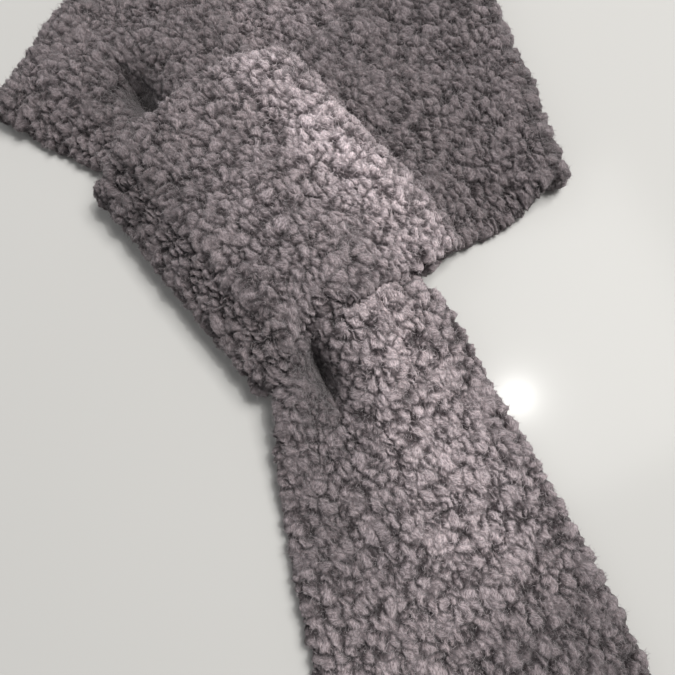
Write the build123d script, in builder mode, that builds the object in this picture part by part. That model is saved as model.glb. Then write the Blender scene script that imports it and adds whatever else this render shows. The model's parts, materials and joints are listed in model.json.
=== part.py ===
"""Pull-through fleece scarf, laid flat with its tail drawn through the loop."""
import os
from math import atan2, cos, degrees, hypot, radians, sin, tan

from build123d import *

# The scarf is one long double strip of curly fleece: a face sheet and a lining sheet, sewn along
# both edges. One end is turned back and stitched into a loop, and the other end, the tail, is
# drawn through it. X runs across the loop, the tail leaves towards -Y, and Z = 0 is the table.
# The origin is on the table under the middle of the loop.

# Driving dimensions
strip_width = 165.0  # finished width of the strip
sheet = 6.0  # one fleece sheet: its knitted back and its pile
loop_half_length = strip_width / 2  # the loop is as long as the strip is wide
tunnel_left = -41.0  # where the loop's turn begins
tunnel_height = 20.9  # clear height inside the loop
shoulder_x = 54.0  # where the loop's top begins to fall
fall_reach = 16.0  # how far past that its curve is drawn out
loop_end_x = 78.0  # closed end of the strip, sewn under the right panel
panel_start_x = 80.0  # where the right panel lies flat again
left_corner = (-78.0, 166.0)  # near end of the left turn's fold line
right_corner = (155.0, -90.0)  # near end of the right turn's fold line
neckline_rise = 66.0  # how far the neckline edge curves back from the line between the corners
mouth_half_width = 56.0  # left panel where it meets the loop
mouth_depth = 3.0  # over which the left panel draws in to enter the loop
gather_left = -40.0  # gathered strip inside the loop
gather_right = 46.0
gather_furrow = -14.0  # lengthwise furrow of the gathered strip
gather_arch = 8.3  # how far the gathered strip rises between its edges and its furrow
slide_gap = 0.3  # between the gathered strip and the loop
seam_clear = 0.5  # left panel's seams, clear of the loop's
joint_clear = 1.5  # gathered strip and tail, each side of the crease
gather_seam_front = 4.0  # gathered strip's seams stop short of its ends
gather_seam_back = 2.0
body_joint_y = 60.0  # where the left panel hands over to the sliding strip
tail_joint_y = -98.5  # crease about which the tail lifts
tail_direction = -110.7  # degrees, seen from above
tail_axis_point = (-8.0, -97.0)
tail_length = 283.0
tail_flare_length = 150.0  # over which the gathers spread out
tail_flare_share = 0.64  # of that spreading, done half way along it
tail_overlap = 20.0  # outline drawn back under the loop before the profile cuts it
tail_root_half_width = 50.0
tail_end_half_width = 90.0
tail_corner_radius = 18.0
tail_rest_y = -190.0  # where the tail has come down to the table
seam_width = 2.0
seam_height = 4.0
label_length = 34.0
label_reach = 20.0
label_thickness = 0.6
label_place = 240.0  # along the tail, to the label's middle
label_gap = 1.0  # clear of the tail's edge, so that it turns freely
label_rise = 0.2  # of its free edge above the table
label_stitch_inset = 2.0
label_stitch_width = 0.8
label_stitch_proud = 0.3
stitch_length = 4.5
stitch_size = 1.2
stitch_pitch = 8.0
loop_stitch_count = 20
hem_stitch_rows = (2.0, 5.0)  # in from the closed end
hem_inset = 1.0  # closed end's seam, thinner than the strip
label_stitch_count = 6
label_stitch_pitch = label_length / label_stitch_count

# Derived places
strip_thickness = 2 * sheet
turn_height = 2 * strip_thickness
loop_height = 2 * strip_thickness + tunnel_height
loop_mid_z = loop_height / 2
back_angle = degrees(atan2(right_corner[1] - left_corner[1], right_corner[0] - left_corner[0]))
left_fold_angle = (90 + back_angle) / 2
right_fold_angle = (180 + back_angle) / 2
fold_length = strip_width / cos(radians(left_fold_angle))
right_fold_length = strip_width / sin(radians(right_fold_angle))
left_far = (left_corner[0] + strip_width, left_corner[1] + strip_width * tan(radians(left_fold_angle)))
right_far = (right_corner[0] + strip_width / tan(radians(right_fold_angle)), right_corner[1] + strip_width)
neckline_mid = (
    (left_corner[0] + right_corner[0]) / 2 - neckline_rise * sin(radians(back_angle)),
    (left_corner[1] + right_corner[1]) / 2 + neckline_rise * cos(radians(back_angle)),
)

os.makedirs("parts", exist_ok=True)


def finish(builder, name):
    """Names a finished piece and writes it."""
    builder.part.label = name
    export_step(builder.part, f"parts/{name}.step")


def back_outline():
    """Plan of the part behind the neck: two fold lines, a straight outer edge, a curved neckline."""
    with BuildSketch() as plan:
        with BuildLine():
            ThreePointArc(left_corner, neckline_mid, right_corner)
            Polyline(right_corner, right_far, left_far, left_corner)
        make_face()
    return plan.sketch


def left_outline():
    """Plan of the left panel, from its fold line to just inside the loop."""
    inner = loop_half_length + seam_width + seam_clear
    outer = inner + mouth_depth
    with BuildSketch() as plan:
        with BuildLine():
            Polyline(
                left_corner,
                (-mouth_half_width, outer),
                (gather_left, inner),
                (gather_left, body_joint_y),
                (gather_right, body_joint_y),
                (gather_right, inner),
                (mouth_half_width, outer),
                left_far,
                close=True,
            )
        make_face()
    return plan.sketch


def right_outline():
    """Plan of the right panel, from the loop to its fold line."""
    with BuildSketch() as plan:
        with BuildLine():
            Polyline(
                (panel_start_x, right_corner[1]),
                right_corner,
                right_far,
                (panel_start_x, right_far[1]),
                close=True,
            )
        make_face()
    return plan.sketch


def flat_sheet(name, outline, bottom):
    """One flat fleece sheet of a given plan."""
    with BuildPart() as piece:
        with BuildSketch(Plane.XY.offset(bottom)):
            add(outline)
        extrude(amount=sheet)
    finish(piece, name)


def turned_sheet(name, start, outward, along, length, centre_z, inner, outer):
    """One sheet going round a turn: a half ring, or a half disc where inner is 0."""
    section = Plane(origin=(start[0], start[1], centre_z), x_dir=outward, z_dir=along)
    with BuildPart() as piece:
        with BuildSketch(section):
            Circle(outer)
            if inner > 0:
                Circle(inner, mode=Mode.SUBTRACT)
            Rectangle(outer, 2 * outer, align=(Align.MIN, Align.CENTER), mode=Mode.INTERSECT)
        extrude(amount=length)
    finish(piece, name)


def edge_bar(start, end, side, centre_z):
    """A seam along one straight edge, just outside the sheets. side is +1 to the left of the run."""
    run = hypot(end[0] - start[0], end[1] - start[1])
    along = ((end[0] - start[0]) / run, (end[1] - start[1]) / run, 0)
    section = Plane(origin=(start[0], start[1], centre_z), x_dir=(-along[1], along[0], 0), z_dir=along)
    with BuildSketch(section) as profile:
        with Locations((side * seam_width / 2, 0)):
            Rectangle(seam_width, seam_height)
    extrude(profile.sketch, amount=run)


def tail_point(along, across):
    """A plan point of the tail, from its distance along and to the left of its centre line."""
    angle = radians(tail_direction)
    return (
        tail_axis_point[0] + along * cos(angle) - across * sin(angle),
        tail_axis_point[1] + along * sin(angle) + across * cos(angle),
    )


# Part behind the neck, lying on the table
flat_sheet("neck_back_face", back_outline(), 0)
flat_sheet("neck_back_lining", back_outline(), sheet)

# Left and right turns, where the strip doubles back over itself on a slanting fold
left_along = (cos(radians(left_fold_angle)), sin(radians(left_fold_angle)), 0)
left_outward = (-left_along[1], left_along[0], 0)
right_along = (cos(radians(right_fold_angle)), sin(radians(right_fold_angle)), 0)
right_outward = (right_along[1], -right_along[0], 0)
turns = (
    ("left_turn", left_corner, left_outward, left_along, fold_length),
    ("right_turn", right_corner, right_outward, right_along, right_fold_length),
)
for turn, corner, outward, along, length in turns:
    turned_sheet(turn + "_face", corner, outward, along, length, strip_thickness, sheet, strip_thickness)
    turned_sheet(turn + "_lining", corner, outward, along, length, strip_thickness, 0, sheet)

# Front panels, lying on the part behind the neck
flat_sheet("left_panel_lining", left_outline(), strip_thickness)
flat_sheet("left_panel_face", left_outline(), strip_thickness + sheet)
flat_sheet("right_panel_lining", right_outline(), strip_thickness)
flat_sheet("right_panel_face", right_outline(), strip_thickness + sheet)

# Loop: up over the gathered strip, round its left edge and back underneath
loop_section = Plane.XZ.offset(-loop_half_length)
falls = shoulder_x + fall_reach


def loop_top(name, low, high):
    """A sheet of the loop's top, low and high above the tunnel, falling to the right panel."""
    roof = strip_thickness + tunnel_height
    shoulder_low = shoulder_x - strip_thickness / 2 + low / 2
    shoulder_high = shoulder_x - strip_thickness / 2 + high / 2
    with BuildPart() as piece:
        with BuildSketch(loop_section):
            with BuildLine():
                Polyline((tunnel_left, roof + high), (tunnel_left, roof + low), (shoulder_low, roof + low))
                Bezier(
                    (shoulder_low, roof + low),
                    (falls + low / 2, roof + low),
                    (falls, strip_thickness + low),
                    (panel_start_x, strip_thickness + low),
                )
                Line((panel_start_x, strip_thickness + low), (panel_start_x, strip_thickness + high))
                Bezier(
                    (panel_start_x, strip_thickness + high),
                    (falls, strip_thickness + high),
                    (falls + high / 2, roof + high),
                    (shoulder_high, roof + high),
                )
                Line((shoulder_high, roof + high), (tunnel_left, roof + high))
            make_face()
        extrude(amount=strip_width)
    finish(piece, name)


loop_top("loop_top_lining", 0, sheet)
loop_top("loop_top_face", sheet, strip_thickness)

turn_start = (tunnel_left, -loop_half_length)
lining_inner = tunnel_height / 2
face_inner = lining_inner + sheet
turned_sheet(
    "loop_turn_lining", turn_start, (-1, 0, 0), (0, 1, 0), strip_width, loop_mid_z, lining_inner, face_inner
)
turned_sheet(
    "loop_turn_face", turn_start, (-1, 0, 0), (0, 1, 0), strip_width, loop_mid_z, face_inner, loop_mid_z
)

with BuildSketch() as return_plan:
    with Locations(((tunnel_left + loop_end_x) / 2, 0)):
        Rectangle(loop_end_x - tunnel_left, strip_width)
flat_sheet("loop_return_face", return_plan.sketch, 0)
flat_sheet("loop_return_lining", return_plan.sketch, sheet)

with BuildPart() as loop_end_hem:
    with BuildSketch(Plane.XY.offset(hem_inset)):
        with Locations((loop_end_x + seam_width / 2, 0)):
            Rectangle(seam_width, strip_width - seam_height)
    extrude(amount=strip_thickness - 2 * hem_inset)
finish(loop_end_hem, "loop_end_hem")

with BuildPart() as loop_end_stitches:
    for row_inset in hem_stitch_rows:
        with BuildSketch(Plane.XY.offset(strip_thickness - stitch_size / 2)):
            with Locations((loop_end_x - row_inset, 0)):
                with GridLocations(stitch_pitch, stitch_pitch, 1, loop_stitch_count):
                    Rectangle(stitch_size, stitch_length)
        extrude(amount=stitch_size)
finish(loop_end_stitches, "loop_end_stitches")

# Edge seams of the loop: half a ring at the turn and two straight runs
with BuildPart() as loop_edge_seams:
    for side in (-1, 1):
        face_y = side * loop_half_length
        section = Plane.XZ.offset(-face_y)
        inner = face_inner - seam_height / 2
        outer = face_inner + seam_height / 2
        with BuildSketch(section):
            with Locations((tunnel_left, loop_mid_z)):
                Circle(outer)
                Circle(inner, mode=Mode.SUBTRACT)
                Rectangle(outer, 2 * outer, align=(Align.MAX, Align.CENTER), mode=Mode.INTERSECT)
            with Locations((tunnel_left, sheet)):
                Rectangle(loop_end_x - tunnel_left, seam_height, align=(Align.MIN, Align.CENTER))
            with Locations((tunnel_left, loop_height - sheet)):
                Rectangle(shoulder_x - tunnel_left, seam_height, align=(Align.MIN, Align.CENTER))
        extrude(amount=-side * seam_width)
finish(loop_edge_seams, "loop_edge_seams")

# Edge seams of the panels, between face and lining
panel_seam_z = strip_thickness + sheet
mouth_y = loop_half_length + seam_width + mouth_depth + seam_clear
with BuildPart() as panel_outer_seams:
    edge_bar((panel_start_x, right_corner[1]), right_corner, -1, panel_seam_z)
    edge_bar(left_corner, (-mouth_half_width, mouth_y), -1, panel_seam_z)
    edge_bar(left_far, right_far, 1, sheet)
finish(panel_outer_seams, "panel_outer_seams")

with BuildPart() as panel_neckline_seams:
    edge_bar((panel_start_x + seam_width, right_far[1]), right_far, 1, panel_seam_z)
    edge_bar((mouth_half_width, mouth_y), left_far, -1, panel_seam_z)
finish(panel_neckline_seams, "panel_neckline_seams")


# Gathered strip inside the loop, which slides
def gathered_sheet(name, bottom):
    """One sheet of the gathered strip: two arches with a furrow between them."""
    top = bottom + sheet - slide_gap / 2
    left_mid = (gather_left + gather_furrow) / 2
    right_mid = (gather_furrow + gather_right) / 2
    front = tail_joint_y + joint_clear
    back = body_joint_y - slide_gap
    with BuildPart() as piece:
        with BuildSketch(Plane.XZ.offset(-back)):
            with BuildLine():
                ThreePointArc((gather_left, bottom), (left_mid, bottom + gather_arch), (gather_furrow, bottom))
                ThreePointArc((gather_furrow, bottom), (right_mid, bottom + gather_arch), (gather_right, bottom))
                Line((gather_right, bottom), (gather_right, top))
                ThreePointArc((gather_right, top), (right_mid, top + gather_arch), (gather_furrow, top))
                ThreePointArc((gather_furrow, top), (left_mid, top + gather_arch), (gather_left, top))
                Line((gather_left, top), (gather_left, bottom))
            make_face()
        extrude(amount=back - front)
    finish(piece, name)


strip_bottom = strip_thickness + slide_gap
gathered_sheet("gathered_strip_lining", strip_bottom)
gathered_sheet("gathered_strip_face", strip_bottom + sheet - slide_gap / 2)

with BuildPart() as gathered_strip_seams:
    for seam_x, side in ((gather_left, -1), (gather_right, 1)):
        front = (seam_x, tail_joint_y + gather_seam_front)
        back = (seam_x, body_joint_y - gather_seam_back)
        edge_bar(front, back, -side, strip_bottom + sheet - slide_gap / 2)
finish(gathered_strip_seams, "gathered_strip_seams")


# Tail: spreads out from its gathers and comes down to the table
def tail_outline(inset):
    """Plan of the tail, drawn back past its root, which the side profile then cuts."""
    with BuildSketch() as plan:
        with BuildLine():
            for side in (-1, 1):
                root = side * (tail_root_half_width - inset)
                flared = side * (strip_width / 2 - inset)
                ThreePointArc(
                    tail_point(-tail_overlap, root),
                    tail_point(tail_flare_length / 2, root + tail_flare_share * (flared - root)),
                    tail_point(tail_flare_length, flared),
                )
                Line(
                    tail_point(tail_flare_length, flared),
                    tail_point(tail_length - inset, side * (tail_end_half_width - inset)),
                )
            Line(
                tail_point(tail_length - inset, inset - tail_end_half_width),
                tail_point(tail_length - inset, tail_end_half_width - inset),
            )
            Line(
                tail_point(-tail_overlap, inset - tail_root_half_width),
                tail_point(-tail_overlap, tail_root_half_width - inset),
            )
        make_face()
        fillet(plan.vertices().sort_by(Axis.Y)[:1], tail_corner_radius)
        fillet(plan.vertices().sort_by(Axis.X)[:1], tail_corner_radius)
    return plan.sketch


def tail_layer(outline, low, high):
    """A layer of the tail between two heights above its underside."""
    start = tail_joint_y - joint_clear
    end = start - tail_length
    bend = (start - tail_rest_y) / 2
    with BuildSketch(Plane.YZ.offset(-tail_length)) as profile:
        with BuildLine():
            Bezier(
                (start, strip_bottom + low),
                (start - bend, strip_bottom + low),
                (tail_rest_y + bend, low),
                (tail_rest_y, low),
            )
            Polyline((tail_rest_y, low), (end, low), (end, high), (tail_rest_y, high))
            Bezier(
                (tail_rest_y, high),
                (tail_rest_y + bend, high),
                (start - bend, strip_bottom + high),
                (start, strip_bottom + high),
            )
            Line((start, strip_bottom + high), (start, strip_bottom + low))
        make_face()
    extrude(profile.sketch, amount=2 * tail_length)
    with BuildSketch() as plan:
        add(outline)
    extrude(plan.sketch, amount=loop_height, mode=Mode.INTERSECT)


with BuildPart() as tail_lining:
    tail_layer(tail_outline(seam_width), 0, sheet)
finish(tail_lining, "tail_lining")

with BuildPart() as tail_face:
    tail_layer(tail_outline(seam_width), sheet, strip_thickness)
finish(tail_face, "tail_face")

with BuildPart() as tail_edge:
    tail_layer(tail_outline(0), sheet - seam_height / 2, sheet + seam_height / 2)
    with BuildSketch() as inside:
        add(tail_outline(seam_width))
    extrude(inside.sketch, amount=loop_height, mode=Mode.SUBTRACT)
end_cut = Plane(
    origin=tail_point(tail_length - tail_corner_radius, 0),
    z_dir=(cos(radians(tail_direction)), sin(radians(tail_direction)), 0),
)
middle_cut = Plane(
    origin=tail_point(0, 0),
    z_dir=(-sin(radians(tail_direction)), cos(radians(tail_direction)), 0),
)
with BuildPart() as tail_end_seam:
    add(tail_edge.part)
    split(bisect_by=end_cut, keep=Keep.TOP)
finish(tail_end_seam, "tail_end_seam")
for name, kept in (("tail_right_seam", Keep.TOP), ("tail_left_seam", Keep.BOTTOM)):
    with BuildPart() as tail_side_seam:
        add(tail_edge.part)
        split(bisect_by=end_cut, keep=Keep.BOTTOM)
        split(bisect_by=middle_cut, keep=kept)
    finish(tail_side_seam, name)

# Care label, sewn in the tail's left edge and sloping down to the table
edge_start = tail_point(tail_flare_length, -strip_width / 2)
edge_end = tail_point(tail_length, -tail_end_half_width)
edge_run = hypot(edge_end[0] - edge_start[0], edge_end[1] - edge_start[1])
edge_along = ((edge_end[0] - edge_start[0]) / edge_run, (edge_end[1] - edge_start[1]) / edge_run, 0)
edge_outward = (edge_along[1], -edge_along[0], 0)
label_share = (label_place - tail_flare_length) / (tail_length - tail_flare_length)
label_middle = (
    edge_start[0] + label_share * (edge_end[0] - edge_start[0]) + label_gap * edge_outward[0],
    edge_start[1] + label_share * (edge_end[1] - edge_start[1]) + label_gap * edge_outward[1],
)
label_drop = sheet - label_thickness - label_rise
label_plane = Plane(
    origin=(label_middle[0], label_middle[1], sheet),
    x_dir=(edge_outward[0] * label_reach, edge_outward[1] * label_reach, -label_drop),
    z_dir=(edge_outward[0] * label_drop, edge_outward[1] * label_drop, label_reach),
)
with BuildPart() as care_label:
    with BuildSketch(label_plane):
        Rectangle(label_reach, label_length, align=(Align.MIN, Align.CENTER))
    extrude(amount=label_thickness / 2, both=True)
finish(care_label, "care_label")

with BuildPart() as care_label_stitches:
    with BuildSketch(label_plane):
        with Locations((label_stitch_inset, 0)):
            with GridLocations(stitch_pitch, label_stitch_pitch, 1, label_stitch_count):
                Rectangle(label_stitch_width, label_stitch_pitch - label_stitch_inset)
    extrude(amount=label_thickness / 2 + label_stitch_proud, both=True)
finish(care_label_stitches, "care_label_stitches")

hinge_middle = (label_middle[0], label_middle[1], sheet)
print("label hinge at", hinge_middle, "along", edge_along)
print("left far corner", left_far, "right far corner", right_far)
print("tail end middle", tail_point(tail_length, 0), "loop height", loop_height)
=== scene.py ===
import json
import math
import bpy
import numpy as np
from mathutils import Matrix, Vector


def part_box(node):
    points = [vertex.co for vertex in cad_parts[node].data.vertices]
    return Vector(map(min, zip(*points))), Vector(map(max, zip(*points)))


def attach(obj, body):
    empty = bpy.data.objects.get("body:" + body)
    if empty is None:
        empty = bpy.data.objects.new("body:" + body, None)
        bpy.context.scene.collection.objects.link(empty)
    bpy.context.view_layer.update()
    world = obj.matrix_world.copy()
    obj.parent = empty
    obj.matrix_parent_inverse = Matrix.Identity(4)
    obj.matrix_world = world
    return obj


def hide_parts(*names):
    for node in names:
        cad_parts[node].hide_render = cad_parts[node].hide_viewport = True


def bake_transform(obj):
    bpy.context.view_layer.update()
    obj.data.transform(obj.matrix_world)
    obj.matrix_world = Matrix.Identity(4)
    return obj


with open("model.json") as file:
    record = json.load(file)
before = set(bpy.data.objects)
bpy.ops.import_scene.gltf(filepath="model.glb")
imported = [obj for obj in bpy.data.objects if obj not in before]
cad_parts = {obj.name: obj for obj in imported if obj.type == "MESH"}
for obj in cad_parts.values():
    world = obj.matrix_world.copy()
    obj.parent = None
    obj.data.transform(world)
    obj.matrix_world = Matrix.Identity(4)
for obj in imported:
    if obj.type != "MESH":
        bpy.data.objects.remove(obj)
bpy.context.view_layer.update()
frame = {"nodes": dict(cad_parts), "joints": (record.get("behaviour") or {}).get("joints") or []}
print("frame loaded")


# places read from the frame

def cornerOf(node, direction):
    # the vertex of a CAD node that lies furthest in a direction
    mesh = frame["nodes"][node].data
    points = np.array([v.co for v in mesh.vertices], float)
    return points[np.argmax(points @ np.array(direction, float))]


def boxOf(node):
    low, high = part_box(node)
    return np.array(low, float), np.array(high, float)


def jointNamed(name):
    return next(joint for joint in frame["joints"] if joint["name"] == name)


up = np.array([0.0, 0.0, 1.0])
loopLow, loopHigh = boxOf("loop_top_face")
turnHigh = boxOf("loop_turn_face")[1]
returnHigh = boxOf("loop_return_lining")[1]
backLow, backHigh = boxOf("neck_back_lining")
gatherLow, gatherHigh = boxOf("gathered_strip_lining")
leftCorner = cornerOf("left_panel_face", (-1, 0, 0))
leftFar = cornerOf("left_panel_face", (0, 1, 0))
rightCorner = cornerOf("right_panel_face", (0.5, -1, 0))
rightFar = cornerOf("right_panel_face", (1, 0, 0))
tailLeftEnd = cornerOf("tail_left_seam", (0, -1, 0))
tailRightEnd = cornerOf("tail_right_seam", (0, -1, 0))

stripWidth = loopHigh[1] - loopLow[1]
sheetThickness = backHigh[2] - backLow[2]
panelMidZ = boxOf("right_panel_face")[0][2]
backMidZ = backLow[2]
loopTopMidZ = loopHigh[2] - sheetThickness
turnStartX = loopLow[0]
turnMidZ = turnHigh[2] / 2
turnRadius = turnMidZ - sheetThickness
panelStartX = loopHigh[0]
loopPoints = np.array([v.co for v in frame["nodes"]["loop_top_face"].data.vertices], float)
shoulderX = float(loopPoints[loopPoints[:, 2] > loopHigh[2] - 0.0005][:, 0].max())
loopEndX = returnHigh[0]
tailAcross = (tailRightEnd - tailLeftEnd) * np.array([1, 1, 0])
tailAcross /= np.linalg.norm(tailAcross)
tailAlong = np.array([tailAcross[1], -tailAcross[0], 0])
tailEndAlong = float(cornerOf("tail_end_seam", tailAlong) @ tailAlong)


# the fleece strip: one dictionary of what a maker would change

stripValues = {
    "rowStep": 0.0028,  # between rows along the strip
    "acrossCount": 61,  # points across it
    "halfThickness": 0.0031,  # knitted back and dense under-pile of one sheet
    "edgeRoundness": 8.0,
    "pileInset": 0.0045,  # the pile stands this far beyond the sheet's edge
    "sheetGap": 0.00006,
    "gatherBig": 0.0072,  # how high the wide gather stands
    "gatherSmall": 0.0050,
    "furrowInside": 0.0045,
    "slitShare": 0.094,
    "furrowMouthLeft": 0.0180,  # furrow of the left panel where it enters the loop
    "furrowMouthTail": 0.0190,
    "panelSag": 0.0080,
    "pleats": 5.0,
    "pleatHeight": 0.0062,
    "pleatLevel": 0.0043,
    "pleatThickness": 0.0016,
    "undulation": 0.0018,
    "cornerOut": 0.0025,
    "turnDroop": 1.9,
    "turnReach": 1.38,
    "shoulderFall": 0.0080,
    "tailCrown": 0.0035,
    "edgeSag": 0.0065,
    "lowest": 0.0041,  # of the strip's middle, so that its lining stays on the table
    "necklineOut": 0.0050,
}


def sampled(points, count):
    # a smooth run through a few points, evenly spaced (Catmull-Rom)
    points = np.array(points, float)
    padded = np.vstack([2 * points[0] - points[1], points, 2 * points[-1] - points[-2]])
    run = []
    for k in range(1, len(padded) - 2):
        a, b, c, d = padded[k - 1 : k + 3]
        for t in np.linspace(0, 1, 24, endpoint=False):
            run.append(
                0.5 * (2 * b + (c - a) * t + (2 * a - 5 * b + 4 * c - d) * t**2
                       + (3 * b - a - 3 * c + d) * t**3)
            )
    run.append(points[-1])
    run = np.array(run)
    lengths = np.concatenate([[0], np.cumsum(np.linalg.norm(np.diff(run, axis=0), axis=1))])
    wanted = np.linspace(0, lengths[-1], count)
    return np.stack([np.interp(wanted, lengths, run[:, k]) for k in range(run.shape[1])], axis=1)


def softStep(x, low, high):
    t = np.clip((x - low) / (high - low), 0, 1)
    return t * t * (3 - 2 * t)


def ripple(points, scale, seed):
    # a smooth unevenness in -1..1, from a few sine waves in random directions
    rng = np.random.default_rng(seed)
    total = np.zeros(points.shape[:-1])
    for _ in range(9):
        direction = rng.normal(size=3)
        direction /= np.linalg.norm(direction)
        wave = 2 * math.pi / (scale * rng.uniform(0.6, 1.7))
        total += np.sin(points @ direction * wave + rng.uniform(0, 6.28))
    return total / 5


def gridNormals(mid):
    along = np.gradient(mid, axis=0)
    across = np.gradient(mid, axis=1)
    normals = np.cross(across, along)
    return normals / np.maximum(np.linalg.norm(normals, axis=2, keepdims=True), 1e-12)


def rowsBetween(startRail, endRail):
    share = np.linspace(0, 1, stripValues["acrossCount"])[None, :, None]
    return startRail[:, None, :] * (1 - share) + endRail[:, None, :] * share


def rowCount(length):
    return max(4, int(round(length / stripValues["rowStep"])))


def smoothRows(mid, rounds):
    for _ in range(rounds):
        inner = 0.25 * mid[:-2] + 0.5 * mid[1:-1] + 0.25 * mid[2:]
        mid = np.concatenate([mid[:1], inner, mid[-1:]])
    return mid


def gatherLift(share, furrowShare, big, small, depth, width):
    # height over the strip's own level: two gathers with a furrow between them
    bigSide = np.clip(share / furrowShare, 0, 1)
    smallSide = np.clip((1 - share) / (1 - furrowShare), 0, 1)
    wide = big * np.sin(math.pi * bigSide) ** 0.7
    narrow = small * np.sin(math.pi * smallSide) ** 0.8
    valley = depth * np.exp(-np.abs((share - furrowShare) / width) ** 1.6)
    return np.where(share < furrowShare, wide, narrow) - valley


def ringRows():
    # the neck ring and the loop, in one run from inside the loop to the loop's closed end
    v = stripValues
    inset = v["pileInset"]
    n = rowCount
    parts, marks = [], []

    def addPart(name, rows):
        marks.append((name, sum(len(p) for p in parts), len(rows)))
        parts.append(rows)

    def foldEnds(corner, far):
        along = (far - corner) / np.linalg.norm(far - corner)
        return corner - along * v["cornerOut"], far - along * inset, along

    level = panelMidZ
    leftA, leftB, leftRun = foldEnds(leftCorner, leftFar)
    rightA, rightB, rightRun = foldEnds(rightCorner, rightFar)
    leftOut = np.cross(up, leftRun)
    rightOut = np.cross(rightRun, up)
    mouthY = loopHigh[1]
    insideY = mouthY - 0.0145

    startRail = sampled([
        (gatherLow[0], insideY, level), (gatherLow[0] - 0.004, mouthY - 0.004, level),
        (gatherLow[0] - 0.012, mouthY + 0.012, level), (leftA[0] + 0.018, leftA[1] - 0.047, level),
        (leftA[0] + 0.008, leftA[1] - 0.022, level), (leftA[0], leftA[1], level),
    ], n(0.115))
    endRail = sampled([
        (gatherHigh[0], insideY, level), (gatherHigh[0] + 0.004, mouthY - 0.002, level),
        (gatherHigh[0] + 0.015, mouthY + 0.016, level), (leftB[0] - 0.008, leftB[1] - 0.055, level),
        (leftB[0], leftB[1], level),
    ], n(0.115))
    rows = rowsBetween(startRail, endRail)
    share = np.linspace(0, 1, v["acrossCount"])[None, :]
    away = np.clip((rows[:, :, 1] - mouthY) / 0.085, -0.2, 1)
    fade = 1 - softStep(away, 0.05, 1.0)
    slitFade = 1 - softStep(away, 0.45, 0.85)
    furrowShare = 0.37 + 0.095 * np.clip((rows[:, :1, 1] - insideY - 0.022) / 0.060, 0, 1)
    inLoop = 1 - softStep(rows[:, :, 1], mouthY - 0.006, mouthY + 0.008)
    depth = slitFade * (v["furrowInside"] * inLoop + v["furrowMouthLeft"] * (1 - inLoop))
    lift = gatherLift(
        1 - share, 1 - furrowShare, v["gatherBig"] * fade, v["gatherSmall"] * fade, depth, v["slitShare"]
    )
    slit = slitFade * np.exp(-(((share - furrowShare) / (1.5 * v["slitShare"])) ** 2))
    rows[:, :, 2] += lift + 0.002 * fade
    sag = softStep(-(rows[:, :, 0] + rows[:, :, 1] * 0.55 - 0.050), -0.005, 0.05) * (1 - inLoop)
    rows[:, :, 2] -= v["panelSag"] * sag * softStep(rows[:, :, 1], mouthY, mouthY + 0.03)
    beyond = softStep(rows[:, :, 1], mouthY - 0.004, mouthY + 0.02) * (1 - softStep(
        rows[:, :, 1], leftA[1] - 0.03, leftA[1] - 0.004))
    rows[:, :, 2] -= v["edgeSag"] * (1 - softStep(share, 0.0, 0.22)) * beyond
    addPart("leftPanel", rows)

    angles = np.linspace(0, math.pi, 15)[1:-1]
    radius = (panelMidZ - backMidZ) / 2
    middleZ = (panelMidZ + backMidZ) / 2

    def turnRail(point, outward, order):
        rail = [point * [1, 1, 0] + outward * radius * math.sin(a)
                + up * (middleZ + radius * math.cos(a)) for a in order]
        return np.array(rail)

    addPart("leftTurn", rowsBetween(turnRail(leftA, leftOut, angles), turnRail(leftB, leftOut, angles)))

    chord = (rightA - leftA) * [1, 1, 0]
    chordNormal = np.cross(up, chord / np.linalg.norm(chord))
    middle = (leftCorner + rightCorner) / 2 * [1, 1, 0]
    backPoints = np.array([p.co for p in frame["nodes"]["neck_back_face"].data.vertices], float)
    nearMiddle = np.abs((backPoints - middle) @ (chord / np.linalg.norm(chord))) < 0.02
    rise = float(((backPoints[nearMiddle] - middle) @ chordNormal).min()) if nearMiddle.any() else 0.066
    f = np.linspace(0, 1, n(0.27))[:, None]
    ground = np.array([1, 1, 0])
    necklineRail = leftA * ground * (1 - f) + rightA * ground * f + chordNormal * (
        (rise - v["necklineOut"]) * 4 * f * (1 - f))
    outerRail = leftB * ground * (1 - f) + rightB * ground * f
    rows = rowsBetween(necklineRail, outerRail)
    rows[:, :, 2] = backMidZ
    addPart("neckBack", rows[1:-1])

    addPart("rightTurn", rowsBetween(
        turnRail(rightA, rightOut, angles[::-1]), turnRail(rightB, rightOut, angles[::-1])))

    loopA = loopLow[1] + inset
    loopB = loopHigh[1] - inset
    startRail = sampled([
        (rightA[0], rightA[1], level), (rightA[0] - 0.035, rightA[1] - 0.001, level),
        (panelStartX, loopA - 0.007, level),
    ], n(0.11))
    endRail = sampled([
        (rightB[0], rightB[1], level), (rightB[0] - 0.06, rightB[1] + 0.002, level),
        (panelStartX, loopB - 0.003, level),
    ], n(0.11))
    rows = rowsBetween(startRail, endRail)
    corner = softStep(-rows[:, :, 1], 0.0, 0.08) * np.exp(-((rows[:, :, 0] - 0.112) / 0.028) ** 2)
    rows[:, :, 2] -= v["panelSag"] * corner
    alongEdge = softStep(rightA[0] - rows[:, :, 0], 0.004, 0.025)
    rows[:, :, 2] -= v["edgeSag"] * (1 - softStep(share, 0.0, 0.20)) * alongEdge
    addPart("rightPanel", rows)

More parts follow.
